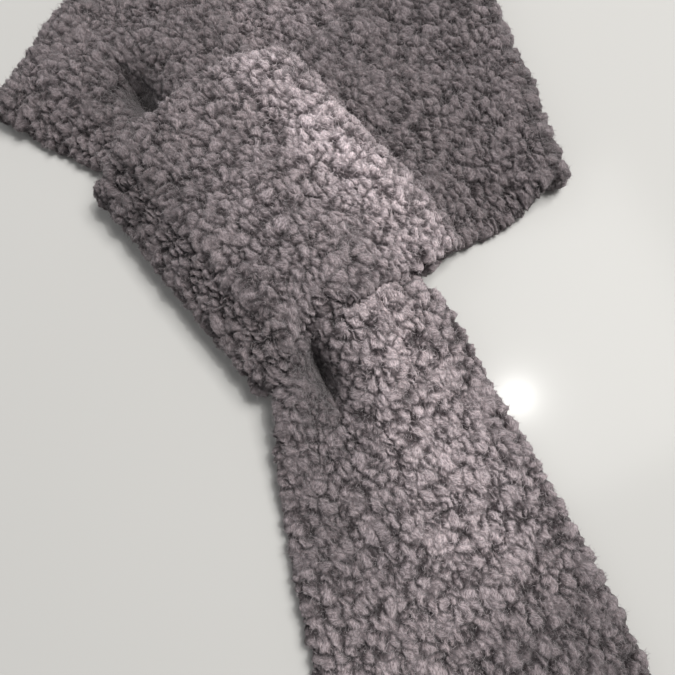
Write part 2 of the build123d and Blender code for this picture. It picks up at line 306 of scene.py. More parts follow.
    # the loop's own line, seen along the tunnel
    line = []
    for t in np.linspace(0, 1, 30):
        a = (1 - t) ** 3
        b = 3 * t * (1 - t) ** 2
        c = 3 * t * t * (1 - t)
        d = t**3
        line.append((
            a * panelStartX + b * (shoulderX + 0.014) + c * (shoulderX + 0.021) + d * (shoulderX - 0.004),
            a * level + b * level + c * (loopTopMidZ + 0.002) + d * (loopTopMidZ + 0.001),
        ))
    line.append(((turnStartX + shoulderX) / 2 - 0.006, loopTopMidZ + 0.0012))
    for u in np.linspace(0, 1, 24):
        line.append((
            turnStartX - v["turnReach"] * turnRadius * math.sin(math.pi * u ** v["turnDroop"]),
            turnMidZ + turnRadius * (1 - 2 * u),
        ))
    line.append(((turnStartX + loopEndX) / 2, backMidZ))
    line.append((loopEndX - 0.0035, backMidZ))
    line = np.array(line)
    lengths = np.concatenate([[0], np.cumsum(np.linalg.norm(np.diff(line, axis=0), axis=1))])
    count = rowCount(lengths[-1])
    wanted = np.linspace(0, lengths[-1], count)[1:]
    x = np.interp(wanted, lengths, line[:, 0])
    z = np.interp(wanted, lengths, line[:, 1])
    onTop = softStep(z, turnMidZ + 0.004, turnMidZ + 0.014)
    lowY = loopA + onTop * 0.010 * np.exp(-np.abs((x + 0.022) / 0.019) ** 2)
    lowY = lowY - 0.0045 * softStep(-x, 0.040, 0.056) - 0.0065 * softStep(x, 0.022, 0.056)
    spill = np.interp(x, (-0.060, -0.037, -0.010, 0.011, 0.048, 0.058, 0.066, 0.080),
                      (0.0, 0.0045, 0.0085, 0.0095, 0.0065, 0.001, -0.005, -0.003))
    highY = loopB + spill * np.maximum(onTop, softStep(x, 0.045, 0.055))
    startRail = np.stack([x, lowY, z], axis=1)
    endRail = np.stack([x, highY, z], axis=1)
    rows = rowsBetween(startRail, endRail)
    fromLow = rows[:, :, 1] - lowY[:, None]
    fromHigh = highY[:, None] - rows[:, :, 1]
    dip = 0.0045 * np.exp(-((x + 0.022) / 0.014) ** 2)[:, None] * np.exp(-fromLow / 0.020)
    dip += 0.0035 * np.exp(-((x + 0.008) / 0.014) ** 2)[:, None] * np.exp(-fromHigh / 0.020)
    edgeDrop = 0.0018 * (np.exp(-fromLow / 0.012) + np.exp(-fromHigh / 0.012))
    rows[:, :, 2] -= onTop[:, None] * (dip + edgeDrop)
    endSlope = softStep(-rows[:, :, 1], 0.010, 0.084) * softStep(x, 0.012, 0.044)[:, None]
    rows[:, :, 2] -= v["shoulderFall"] * endSlope * softStep(
        rows[:, :, 2], panelMidZ + 0.002, loopTopMidZ - 0.004)
    tops = int((wanted < lengths[31]).sum())
    turns = int((wanted < lengths[54]).sum())
    addPart("loopTop", rows[:tops])
    addPart("loopTurn", rows[tops:turns])
    addPart("loopReturn", rows[turns:])
    mid = smoothRows(np.concatenate(parts), 2)
    cover = np.ones(mid.shape[:2])
    cover[: len(slit)] = 1 - (1 - pileValues["slitCover"]) * slit
    cover[:, :] *= (1 - 0.9 * (softStep(-np.arange(len(mid)), -6, 0)))[:, None]
    return mid, marks, cover


def gatheredRows():
    v = stripValues
    backY = loopHigh[1] - 0.0140
    frontY = 0.5 * (loopLow[1] + loopHigh[1]) - 0.014
    count = rowCount(backY - frontY)
    y = np.linspace(backY, frontY, count)
    flat = np.full(count, panelMidZ + 0.002)
    rows = rowsBetween(
        np.stack([np.full(count, gatherHigh[0]), y, flat], axis=1),
        np.stack([np.full(count, gatherLow[0]), y, flat], axis=1),
    )
    share = np.linspace(0, 1, v["acrossCount"])[None, :]
    furrowShare = 0.65 + 0.095 * np.linspace(0, 1, count)[:, None]
    rows[:, :, 2] += gatherLift(
        share, furrowShare, v["gatherBig"], v["gatherSmall"], v["furrowInside"], 0.055)
    # inside the loop the strip's whole width is taken up in pleats
    ends = softStep(np.minimum(backY - y, y - frontY), 0.002, 0.014)[:, None]
    pleats = v["pleatHeight"] * np.sin(2 * math.pi * v["pleats"] * share + 0.5 * np.sin(y * 60)[:, None])
    level = panelMidZ + v["pleatLevel"]
    rows[:, :, 2] = rows[:, :, 2] * (1 - ends) + (level + pleats * np.sin(math.pi * share) ** 0.25) * ends
    return rows


def tailRows():
    v = stripValues
    inset = v["pileInset"]
    startY = 0.5 * (loopLow[1] + loopHigh[1]) - 0.013
    mouthY = loopLow[1]
    endMiddle = (tailLeftEnd + tailRightEnd) / 2 * [1, 1, 0]
    halfEnd = np.linalg.norm((tailRightEnd - tailLeftEnd)[:2]) / 2 - inset + 0.002
    reach = tailEndAlong - inset - float(endMiddle @ tailAlong)

    def tailPoint(back, across):
        point = endMiddle + tailAlong * (reach - back) + tailAcross * across
        return (point[0], point[1])

    rightRail = sampled([
        (gatherHigh[0], startY), (gatherHigh[0] - 0.001, mouthY + 0.020),
        (gatherHigh[0] - 0.0055, mouthY - 0.004), (gatherHigh[0] - 0.003, mouthY - 0.036),
        tailPoint(0.170, 0.0725), tailPoint(0.110, 0.0800),
        tailPoint(0.050, halfEnd - 0.001), tailPoint(0, halfEnd),
    ], rowCount(0.372))
    leftRail = sampled([
        (gatherLow[0], startY), (gatherLow[0], mouthY + 0.020), (gatherLow[0] - 0.018, mouthY - 0.006),
        (gatherLow[0] - 0.0415, mouthY - 0.036), tailPoint(0.170, -0.0725), tailPoint(0.110, -0.0790),
        tailPoint(0.050, -halfEnd + 0.001), tailPoint(0, -halfEnd),
    ], rowCount(0.372))
    count = len(rightRail)
    middle = (rightRail + leftRail) / 2
    run = np.concatenate([[0], np.cumsum(np.linalg.norm(np.diff(middle, axis=0), axis=1))])
    mouthRun = float(np.interp(-mouthY, -middle[:, 1], run))
    left = run[-1] - run
    radius = 0.016
    tuck = np.where(left < radius, radius - np.sqrt(np.maximum(radius**2 - (radius - left) ** 2, 0)), 0)
    width = np.linalg.norm(rightRail - leftRail, axis=1)
    share = (tuck / width)[:, None]
    rightIn = rightRail * (1 - share) + leftRail * share
    leftIn = leftRail * (1 - share) + rightRail * share
    past = run - mouthRun
    level = backMidZ + 0.0006 + (panelMidZ + 0.0014 - backMidZ) * (1 - softStep(past, 0.004, 0.088))
    rows = rowsBetween(
        np.column_stack([rightIn, level]), np.column_stack([leftIn, level])
    )
    across = np.linspace(0, 1, v["acrossCount"])[None, :]
    furrowShare = (0.79 - 0.115 * softStep(past, -0.01, 0.050))[:, None]
    fade = (1 - softStep(past, 0.0, 0.075))[:, None]
    long = (1 - softStep(past, 0.01, 0.17))[:, None]
    opened = softStep(past, -0.014, 0.006)[:, None] * (1 - softStep(past, 0.018, 0.062))[:, None]
    depth = v["furrowInside"] * (1 - softStep(past, -0.014, 0.006))[:, None]
    depth = depth + v["furrowMouthTail"] * opened
    lift = gatherLift(
        across, furrowShare, v["gatherBig"] * fade + 0.0025 * long, v["gatherSmall"] * fade,
        depth, v["slitShare"]
    )
    slit = opened * np.exp(-(((across - furrowShare) / (1.5 * v["slitShare"])) ** 2))
    rows[:, :, 2] += lift
    crown = np.exp(-(((across - 0.36) / 0.30) ** 2)) * softStep(past, -0.01, 0.05)[:, None]
    rows[:, :, 2] += v["tailCrown"] * crown * (1 - 0.6 * softStep(past, 0.16, 0.28))[:, None]
    # shallow folds that fan out from the gathers
    for place, slant, deep in ((0.28, 0.06, 0.0022), (0.50, 0.02, 0.0016), (0.86, -0.08, 0.0016)):
        where = place + slant * past[:, None] / 0.1
        fan = np.exp(-(((across - where) / 0.055) ** 2)) * softStep(past, -0.01, 0.02)[:, None]
        rows[:, :, 2] -= deep * fan * (1 - softStep(past, 0.05, 0.16))[:, None]
    rows[:, :, 2] += 0.0022 * ripple(rows * [1, 1, 0], 0.085, 7) * softStep(past, 0.05, 0.12)[:, None]
    cover = 1 - (1 - pileValues["slitCover"]) * slit
    cover *= pileValues["pressed"] + (1 - pileValues["pressed"]) * softStep(past, -0.018, -0.008)[:, None]
    return smoothRows(rows, 2), past, cover


def meshFromArrays(name, points, quads, triangles):
    mesh = bpy.data.meshes.new(name)
    mesh.vertices.add(len(points))
    mesh.vertices.foreach_set("co", points.astype(np.float32).ravel())
    mesh.loops.add(quads.size + triangles.size)
    corners = np.concatenate([quads.ravel(), triangles.ravel()])
    mesh.loops.foreach_set("vertex_index", corners.astype(np.int32))
    mesh.polygons.add(len(quads) + len(triangles))
    starts = np.concatenate([
        np.arange(0, quads.size, 4), quads.size + np.arange(0, triangles.size, 3)]).astype(np.int32)
    mesh.polygons.foreach_set("loop_start", starts)
    mesh.update(calc_edges=True)
    mesh.polygons.foreach_set("use_smooth", np.ones(len(mesh.polygons), bool))
    return mesh


def gridQuads(index, turned=False):
    a, b = index[:-1, :-1].ravel(), index[:-1, 1:].ravel()
    c, d = index[1:, 1:].ravel(), index[1:, :-1].ravel()
    return np.stack([a, d, c, b] if turned else [a, b, c, d], axis=1)


def addPiece(name, mesh):
    piece = bpy.data.objects.new(name, mesh)
    bpy.context.scene.collection.objects.link(piece)
    return piece


def sheetPiece(name, mid, side, thickness):
    # one closed fleece sheet: from the strip's middle out to its face (side +1) or its lining (-1)
    v = stripValues
    rows, columns = mid.shape[:2]
    normals = gridNormals(mid)
    across = np.abs(np.linspace(-1, 1, columns))
    edge = np.sqrt(np.maximum(1 - across ** v["edgeRoundness"], 0))
    ends = np.ones(rows)
    for k in range(4):
        ends[k] = ends[-1 - k] = math.sqrt(1 - (1 - k / 4) ** 2)
    height = thickness * edge[None, :] * ends[:, None]
    height[:, 0] = height[:, -1] = height[0] = height[-1] = 0
    outer = mid + normals * (side * height)[:, :, None]
    gap = side * np.minimum(height, v["sheetGap"])
    inner = (mid + normals * gap[:, :, None])[1:-1, 1:-1]
    outerIndex = np.arange(rows * columns).reshape(rows, columns)
    innerIndex = outerIndex.copy()
    innerIndex[1:-1, 1:-1] = rows * columns + np.arange(inner[:, :, 0].size).reshape(inner.shape[:2])
    points = np.concatenate([outer.reshape(-1, 3), inner.reshape(-1, 3)])
    quads = np.concatenate([gridQuads(outerIndex, side < 0), gridQuads(innerIndex, side > 0)])
    mesh = meshFromArrays(name, points, quads, np.empty((0, 3), int))
    mesh.validate()
    piece = addPiece(name, mesh)
    piece.data.materials.append(underPile)
    return piece


# nodes

def addNode(tree, kind, inputs=None, **settings):
    # one node: an input that is a socket is linked, any other is a plain value
    node = tree.nodes.new(kind)
    for name, value in settings.items():
        setattr(node, name, value)
    for name, value in (inputs or {}).items():
        if isinstance(value, bpy.types.NodeSocket):
            tree.links.new(value, node.inputs[name])
        else:
            node.inputs[name].default_value = value
    return node


def mathNode(tree, operation, *values):
    return addNode(tree, "ShaderNodeMath", dict(enumerate(values)), operation=operation).outputs[0]


def vectorNode(tree, operation, *values):
    return addNode(tree, "ShaderNodeVectorMath", dict(enumerate(values)), operation=operation).outputs[0]


def scaledNode(tree, vector, amount):
    inputs = {0: vector, "Scale": amount}
    return addNode(tree, "ShaderNodeVectorMath", inputs, operation="SCALE").outputs[0]


def mixedNode(tree, factor, first, second):
    # two colours mixed
    inputs = {0: factor, 6: first, 7: second}
    return addNode(tree, "ShaderNodeMix", inputs, data_type="RGBA").outputs[2]


def noiseNode(tree, vector, scale, detail=2.0):
    return addNode(tree, "ShaderNodeTexNoise", {"Vector": vector, "Scale": scale, "Detail": detail})


def mappedNode(tree, value, low, high, toLow=0.0, toHigh=1.0, kind="LINEAR"):
    inputs = {"Value": value, "From Min": low, "From Max": high, "To Min": toLow, "To Max": toHigh}
    return addNode(tree, "ShaderNodeMapRange", inputs, interpolation_type=kind).outputs["Result"]


def newGroup(name, kind, inputs, outputs):
    # a node group: its tree, the sockets it is given and the node that takes its result
    tree = bpy.data.node_groups.new(name, kind)
    for inOut, sockets in (("INPUT", inputs), ("OUTPUT", outputs)):
        for label, sort, *value in sockets:
            socket = tree.interface.new_socket(name=label, in_out=inOut, socket_type="NodeSocket" + sort)
            if value:
                socket.default_value = value[0]
    return tree, tree.nodes.new("NodeGroupInput").outputs, tree.nodes.new("NodeGroupOutput")


def newMaterial(name, finish):
    # a material, its tree and its shader's inputs
    material = bpy.data.materials.new(name)
    material.use_nodes = True
    shader = material.node_tree.nodes["Principled BSDF"].inputs
    for label, value in finish.items():
        shader[label].default_value = value
    return material, material.node_tree, shader


def paint(tree, shader, colour, height=None, depth=0.0, strength=1.0):
    # a colour, and a fine relief where a height is given
    tree.links.new(colour, shader["Base Color"])
    if height is not None:
        bump = addNode(tree, "ShaderNodeBump", {"Strength": strength, "Distance": depth, "Height": height})
        tree.links.new(bump.outputs["Normal"], shader["Normal"])


def ownPlace(tree):
    return tree.nodes.new("ShaderNodeTexCoord").outputs["Object"]


def painted(tree, name):
    return addNode(tree, "ShaderNodeAttribute", attribute_name=name).outputs["Fac"]


def darker(colour, share):
    return (*(share * part for part in colour[:3]), 1.0)


# materials

fleeceValues = {
    "tip": (0.278, 0.241, 0.256, 1.0),
    "warmTip": (0.300, 0.254, 0.262, 1.0),
    "patchScale": 26.0,
    # painted shade down between the locks: the colour at the locks' roots
    "root": (0.026, 0.020, 0.022, 1.0),
    "rootShare": (0.22, 0.90),  # of a lock's height: below the first all dark, above the second all pale
    "lockContrast": (0.88, 1.10),
    # painted shade: the dark colour of the under-pile, seen only deep between the locks
    "under": (0.060, 0.050, 0.053, 1.0),
    "underShade": 0.55,
    "underFineness": 700.0,
    "underCrimp": 2.0,
    "fibreDark": (0.20, 0.175, 0.185, 1.0),
    "fibrePale": (0.54, 0.48, 0.50, 1.0),
    "fibrePatches": 300.0,
    "softness": 0.25,
    "softColour": (1.0, 0.8, 0.75),
    "softReach": 0.0012,
    "streak": 0.55,
    "streakPale": 0.6,  # of the streak, on the pale side
    "fineness": 1250.0,
    "crimp": 0.6,
    "swirl": 1.1,
    "bump": 0.0012,
    "roughness": 0.92,
    "gloss": 0.12,
    "sheen": 0.35,
    "sheenRoughness": 0.45,
    "sheenTint": (0.86, 0.80, 0.82, 1),
}


def fibreGroup():
    # fine crimped fibres: a height and a shade, from a piece's own coordinates
    tree, given, result = newGroup("crimpedFibre", "ShaderNodeTree", [
        ("Coordinates", "Vector"), ("Fineness", "Float", 900.0), ("Crimp", "Float", 1.6),
        ("Turn", "Float", 0.0)], [("Height", "Float"), ("Shade", "Float")])
    turned = addNode(tree, "ShaderNodeVectorRotate", {
        "Vector": given["Coordinates"], "Angle": given["Turn"]}, rotation_type="Z_AXIS")
    drawn = vectorNode(tree, "MULTIPLY", turned.outputs[0], (1.0, 0.30, 0.8))
    fibres = addNode(tree, "ShaderNodeTexNoise", {
        "Vector": drawn, "Scale": given["Fineness"], "Detail": 3.0, "Roughness": 0.62,
        "Distortion": given["Crimp"]}).outputs["Fac"]
    tree.links.new(fibres, result.inputs["Height"])
    tree.links.new(mappedNode(tree, fibres, 0.36, 0.64), result.inputs["Shade"])
    return tree


crimpedFibre = fibreGroup()


def fibresOn(tree, fineness, crimp, turn=0.0):
    return addNode(tree, "ShaderNodeGroup", {
        "Coordinates": ownPlace(tree), "Fineness": fineness, "Crimp": crimp, "Turn": turn,
    }, node_tree=crimpedFibre).outputs


def pileMaterial(name, brightness):
    # curly clumps: painted shade down between them, pale where they stand out, streaked with fine fibres
    v = fleeceValues
    material, tree, shader = newMaterial(name, {
        "Roughness": v["roughness"], "Specular IOR Level": v["gloss"], "Sheen Weight": v["sheen"],
        "Sheen Roughness": v["sheenRoughness"], "Sheen Tint": v["sheenTint"],
        "Subsurface Weight": v["softness"], "Subsurface Radius": v["softColour"],
        "Subsurface Scale": v["softReach"],
    })
    shade = painted(tree, "lockShade")
    turn = mappedNode(tree, shade, 0.0, 1.0, -v["swirl"], v["swirl"])
    fibres = fibresOn(tree, v["fineness"], v["crimp"], turn)
    patches = noiseNode(tree, ownPlace(tree), v["patchScale"])
    tone = mixedNode(tree, patches.outputs["Fac"], v["tip"], v["warmTip"])
    # painted shade: the colour goes to the dark root colour down between the locks
    risen = mappedNode(tree, painted(tree, "lockRise"), *v["rootShare"], kind="SMOOTHSTEP")
    body = mixedNode(tree, risen, v["root"], tone)
    dull, bright = v["lockContrast"]
    own = mappedNode(tree, shade, 0.0, 1.0, dull * brightness, bright * brightness)
    # the lock's own tone times the painted light and shade
    paintedLightTone = mathNode(tree, "MULTIPLY", own, painted(tree, "napShade"))
    streak = mappedNode(
        tree, fibres["Shade"], 0.0, 1.0, 1.0 - v["streak"], 1.0 + v["streakPale"] * v["streak"])
    colour = scaledNode(tree, body, mathNode(tree, "MULTIPLY", paintedLightTone, streak))
    paint(tree, shader, colour, fibres["Height"], v["bump"])
    return material


def underPileMaterial(name, colour):
    # the dense pile down at the knitted back, seen between the locks, coloured dark as painted shade
    v = fleeceValues
    material, tree, shader = newMaterial(name, {
        "Roughness": 0.95, "Sheen Weight": 0.2, "Specular IOR Level": 0.15})
    fibres = fibresOn(tree, v["underFineness"], v["underCrimp"])
    tone = mixedNode(tree, fibres["Shade"], darker(colour, v["underShade"]), colour)
    paint(tree, shader, tone, fibres["Height"], v["bump"], 0.8)
    return material


def threadMaterial(name, colour, roughness):
    # spun thread: fine slanting twist in colour and height
    material, tree, shader = newMaterial(name, {"Roughness": roughness})
    twist = addNode(tree, "ShaderNodeTexWave", {
        "Vector": ownPlace(tree), "Scale": 900.0, "Distortion": 2.0}, bands_direction="DIAGONAL")
    tone = mixedNode(tree, twist.outputs["Fac"], darker(colour, 0.6), colour)
    paint(tree, shader, tone, twist.outputs["Fac"], 0.0002)
    return material


def tapeMaterial():
    # woven satin tape, blank
    material, tree, shader = newMaterial("labelTape", {"Roughness": 0.42, "Sheen Weight": 0.15})
    place = addNode(tree, "ShaderNodeUVMap", uv_map="weave").outputs["UV"]
    warp, weft = (addNode(tree, "ShaderNodeTexWave", {
        "Vector": place, "Scale": 620.0, "Distortion": 0.35,
    }, bands_direction=direction).outputs["Fac"] for direction in ("X", "Y"))
    weave = mathNode(tree, "MULTIPLY", warp, weft)
    tone = mixedNode(tree, weave, (0.60, 0.585, 0.56, 1), (0.80, 0.79, 0.765, 1))
    paint(tree, shader, tone, weave, 0.00012)
    return material


def looseFibreMaterial():
    # single fibres catch more light than the pile does
    v = fleeceValues
    material, tree, shader = newMaterial("looseFibre", {"Roughness": 0.75, "Sheen Weight": 0.2})
    patches = noiseNode(tree, ownPlace(tree), v["fibrePatches"])
    tone = mixedNode(tree, patches.outputs["Fac"], v["fibreDark"], v["fibrePale"])
    # the fibres' tone times the painted light and shade
    paint(tree, shader, scaledNode(tree, tone, painted(tree, "napShade")))
    return material


facePile = pileMaterial("facePile", 1.0)
liningPile = pileMaterial("liningPile", 0.96)
fibreFinish = looseFibreMaterial()
seamFinish = threadMaterial("seamEdge", (0.13, 0.11, 0.115, 1.0), 0.9)
threadFinish = threadMaterial("sewingThread", (0.20, 0.17, 0.18, 1.0), 0.6)
tapeFinish = tapeMaterial()
underPile = underPileMaterial("underPile", fleeceValues["under"])
print("materials made")


# the pile

pileValues = {
    "step": 0.00068,  # between points of the pile that shows
    "hiddenStep": 0.0015,
    "openingStep": 0.0009,
    "liningStep": 0.0011,
    "clump": 0.0066,
    "height": 0.0060,
    "warp": 0.0034,
    "lean": 0.0010,
    "floor": 0.0003,
    "stretch": (1.22, 0.74, 1.0),
    "edgeFineReach": 0.007,
    "skirt": 0.0010,
    "slitCover": 0.06,
    "pressed": 0.45,  # share of its height the pile keeps inside the loop
    "endReach": 0.006,  # the pile leans outwards this close to the tail's closed end
    "labelRoom": 0.010,  # the pile is short this near the label
}


def namedValue(tree, name, kind="FLOAT"):
    inputs = {"Name": name}
    return addNode(tree, "GeometryNodeInputNamedAttribute", inputs, data_type=kind).outputs["Attribute"]


def finishTree(tree, geometry, given, result):
    # real geometry, in the finish that the tree is given
    made = addNode(tree, "GeometryNodeRealizeInstances", {"Geometry": geometry})
    finished = addNode(tree, "GeometryNodeSetMaterial", {
        "Geometry": made.outputs["Geometry"], "Material": given["Finish"]})
    tree.links.new(finished.outputs["Geometry"], result.inputs["Geometry"])
    return tree


def pileTree():
    # raises a surface into curly clumps along its pileWay, as far as its pileCover says
    v = pileValues
    tree, given, result = newGroup("curlyPile", "GeometryNodeTree", [
        ("Geometry", "Geometry"), ("Clump", "Float", v["clump"]), ("Height", "Float", v["height"]),
        ("Warp", "Float", v["warp"]), ("Lean", "Float", v["lean"]), ("Floor", "Float", v["floor"]),
        ("Finish", "Material")], [("Geometry", "Geometry")])
    place = tree.nodes.new("GeometryNodeInputPosition").outputs[0]
    cover = namedValue(tree, "pileCover")
    way = namedValue(tree, "pileWay", "FLOAT_VECTOR")

    def wander(scale, detail, amount):
        # a vector that drifts with the place
        drift = noiseNode(tree, place, scale, detail).outputs["Color"]
        return scaledNode(tree, vectorNode(tree, "SUBTRACT", drift, (0.5, 0.5, 0.5)), amount)

    def unevenness(scale, detail):
        return noiseNode(tree, place, scale, detail).outputs["Fac"]

    def times(first, second):
        return mathNode(tree, "MULTIPLY", first, second)

    def timesPlus(first, second, third):
        return mathNode(tree, "MULTIPLY_ADD", first, second, third)

    wide = wander(105.0, 1.0, times(given["Warp"], 2.6))
    narrow = wander(270.0, 2.0, times(given["Warp"], 1.35))
    warped = vectorNode(tree, "ADD", vectorNode(tree, "ADD", place, wide), narrow)
    stretched = vectorNode(tree, "MULTIPLY", warped, v["stretch"])

    def cells(perClump, feature):
        scale = mathNode(tree, "DIVIDE", perClump, given["Clump"])
        inputs = {"Vector": stretched, "Scale": scale}
        return addNode(tree, "ShaderNodeTexVoronoi", inputs, feature=feature).outputs

    def lockRise(perClump, low, high):
        # 1 on a lock, lower in the slits round it
        edge = cells(perClump, "DISTANCE_TO_EDGE")["Distance"]
        flat = mappedNode(tree, edge, low, high, kind="SMOOTHSTEP")
        return mathNode(tree, "SUBTRACT", 1.0, times(mathNode(tree, "SUBTRACT", 1.0, flat), deepness))

    deepness = mappedNode(tree, unevenness(125.0, 1.0), 0.34, 0.56, 0.46, 1.0, "SMOOTHSTEP")
    large = cells(1.0, "F1")
    largeRise = lockRise(1.0, -0.05, 0.36)
    smallRise = lockRise(1.9, -0.04, 0.32)
    ratio = mathNode(tree, "DIVIDE", large["Distance"], 0.95)
    inside = mathNode(tree, "MAXIMUM", mathNode(tree, "SUBTRACT", 1.0, times(ratio, ratio)), 0.0)
    dome = mathNode(tree, "POWER", inside, 0.62)
    fine = mathNode(tree, "SUBTRACT", unevenness(700.0, 2.0), 0.5)
    lumps = timesPlus(largeRise, 0.34, timesPlus(smallRise, 0.14, timesPlus(dome, 0.48, 0.08)))
    lumps = timesPlus(fine, 0.34, lumps)
    outward = scaledNode(tree, way, times(times(lumps, given["Height"]), cover))
    sideways = wander(165.0, 1.0, times(times(given["Lean"], 3.0), times(largeRise, cover)))
    moved = vectorNode(tree, "ADD", vectorNode(tree, "ADD", place, outward), sideways)
    parts = addNode(tree, "ShaderNodeSeparateXYZ", {0: moved}).outputs
    onTable = addNode(tree, "ShaderNodeCombineXYZ", {
        "X": parts["X"], "Y": parts["Y"], "Z": mathNode(tree, "MAXIMUM", parts["Z"], given["Floor"])})

    def store(geometry, name, value):
        return addNode(tree, "GeometryNodeStoreNamedAttribute", {
            "Geometry": geometry, "Name": name, "Value": value,
        }, data_type="FLOAT", domain="POINT").outputs["Geometry"]

    rise = timesPlus(largeRise, 0.52, timesPlus(smallRise, 0.18, times(dome, 0.30)))
    shade = addNode(tree, "ShaderNodeSeparateXYZ", {0: large["Color"]}).outputs["X"]
    kept = store(store(given["Geometry"], "lockRise", rise), "lockShade", shade)
    raised = addNode(tree, "GeometryNodeSetPosition", {"Geometry": kept, "Position": onTable.outputs[0]})
    return finishTree(tree, raised.outputs["Geometry"], given, result)


curlyPile = pileTree()


def setInput(modifier, tree, name, value):
    item = next(s for s in tree.interface.items_tree if s.name == name and s.in_out == "INPUT")
    modifier[item.identifier] = value


def plainMesh(name, source, tree, settings):
    # runs a node tree on a piece and keeps only the result, as a plain mesh
    modifier = source.modifiers.new(name, "NODES")
    modifier.node_group = tree
    for key, value in settings.items():
        setInput(modifier, tree, key, value)
    bpy.context.view_layer.update()
    graph = bpy.context.evaluated_depsgraph_get()
    mesh = bpy.data.meshes.new_from_object(source.evaluated_get(graph), depsgraph=graph)
    source.modifiers.remove(modifier)
    mesh.name = name
    return addPiece(name, mesh)


def rimOf(index):
    # a grid's outer loop, with each point's place round it from 0 to 4
    rows, columns = index.shape
    loop = np.concatenate([index[0, :-1], index[:-1, -1], index[-1, :0:-1], index[:0:-1, 0]])
    acrossShare = np.arange(columns - 1) / (columns - 1)
    alongShare = np.arange(rows - 1) / (rows - 1)
    places = np.concatenate([acrossShare, 1 + alongShare, 2 + acrossShare, 3 + alongShare])
    return loop, places


def joinRims(outer, outerPlaces, inner, innerPlaces):
    # triangles between two loops that run the same way round
    triangles = []
    i = j = 0
    while i < len(outer) or j < len(inner):
        nextOuter = outerPlaces[i + 1] if i + 1 < len(outer) else (4.0 if i < len(outer) else 9.0)
        nextInner = innerPlaces[j + 1] if j + 1 < len(inner) else (4.0 if j < len(inner) else 9.0)
        a, b = outer[i % len(outer)], inner[j % len(inner)]
        if nextOuter <= nextInner:
            triangles.append((outer[(i + 1) % len(outer)], a, b))
            i += 1
        else:
            triangles.append((b, inner[(j + 1) % len(inner)], a))
            j += 1
    return np.array(triangles)


def blendRows(values, rowPlaces, columnPlaces):
    # values of a coarse grid at in-between rows and columns
    low = np.clip(np.floor(rowPlaces).astype(int), 0, values.shape[0] - 2)
    part = (rowPlaces - low).reshape(-1, *([1] * (values.ndim - 1)))
    rows = values[low] * (1 - part) + values[low + 1] * part
    low = np.clip(np.floor(columnPlaces).astype(int), 0, values.shape[1] - 2)
    part = (columnPlaces - low).reshape(1, -1, *([1] * (values.ndim - 2)))
    return rows[:, low] * (1 - part) + rows[:, low + 1] * part


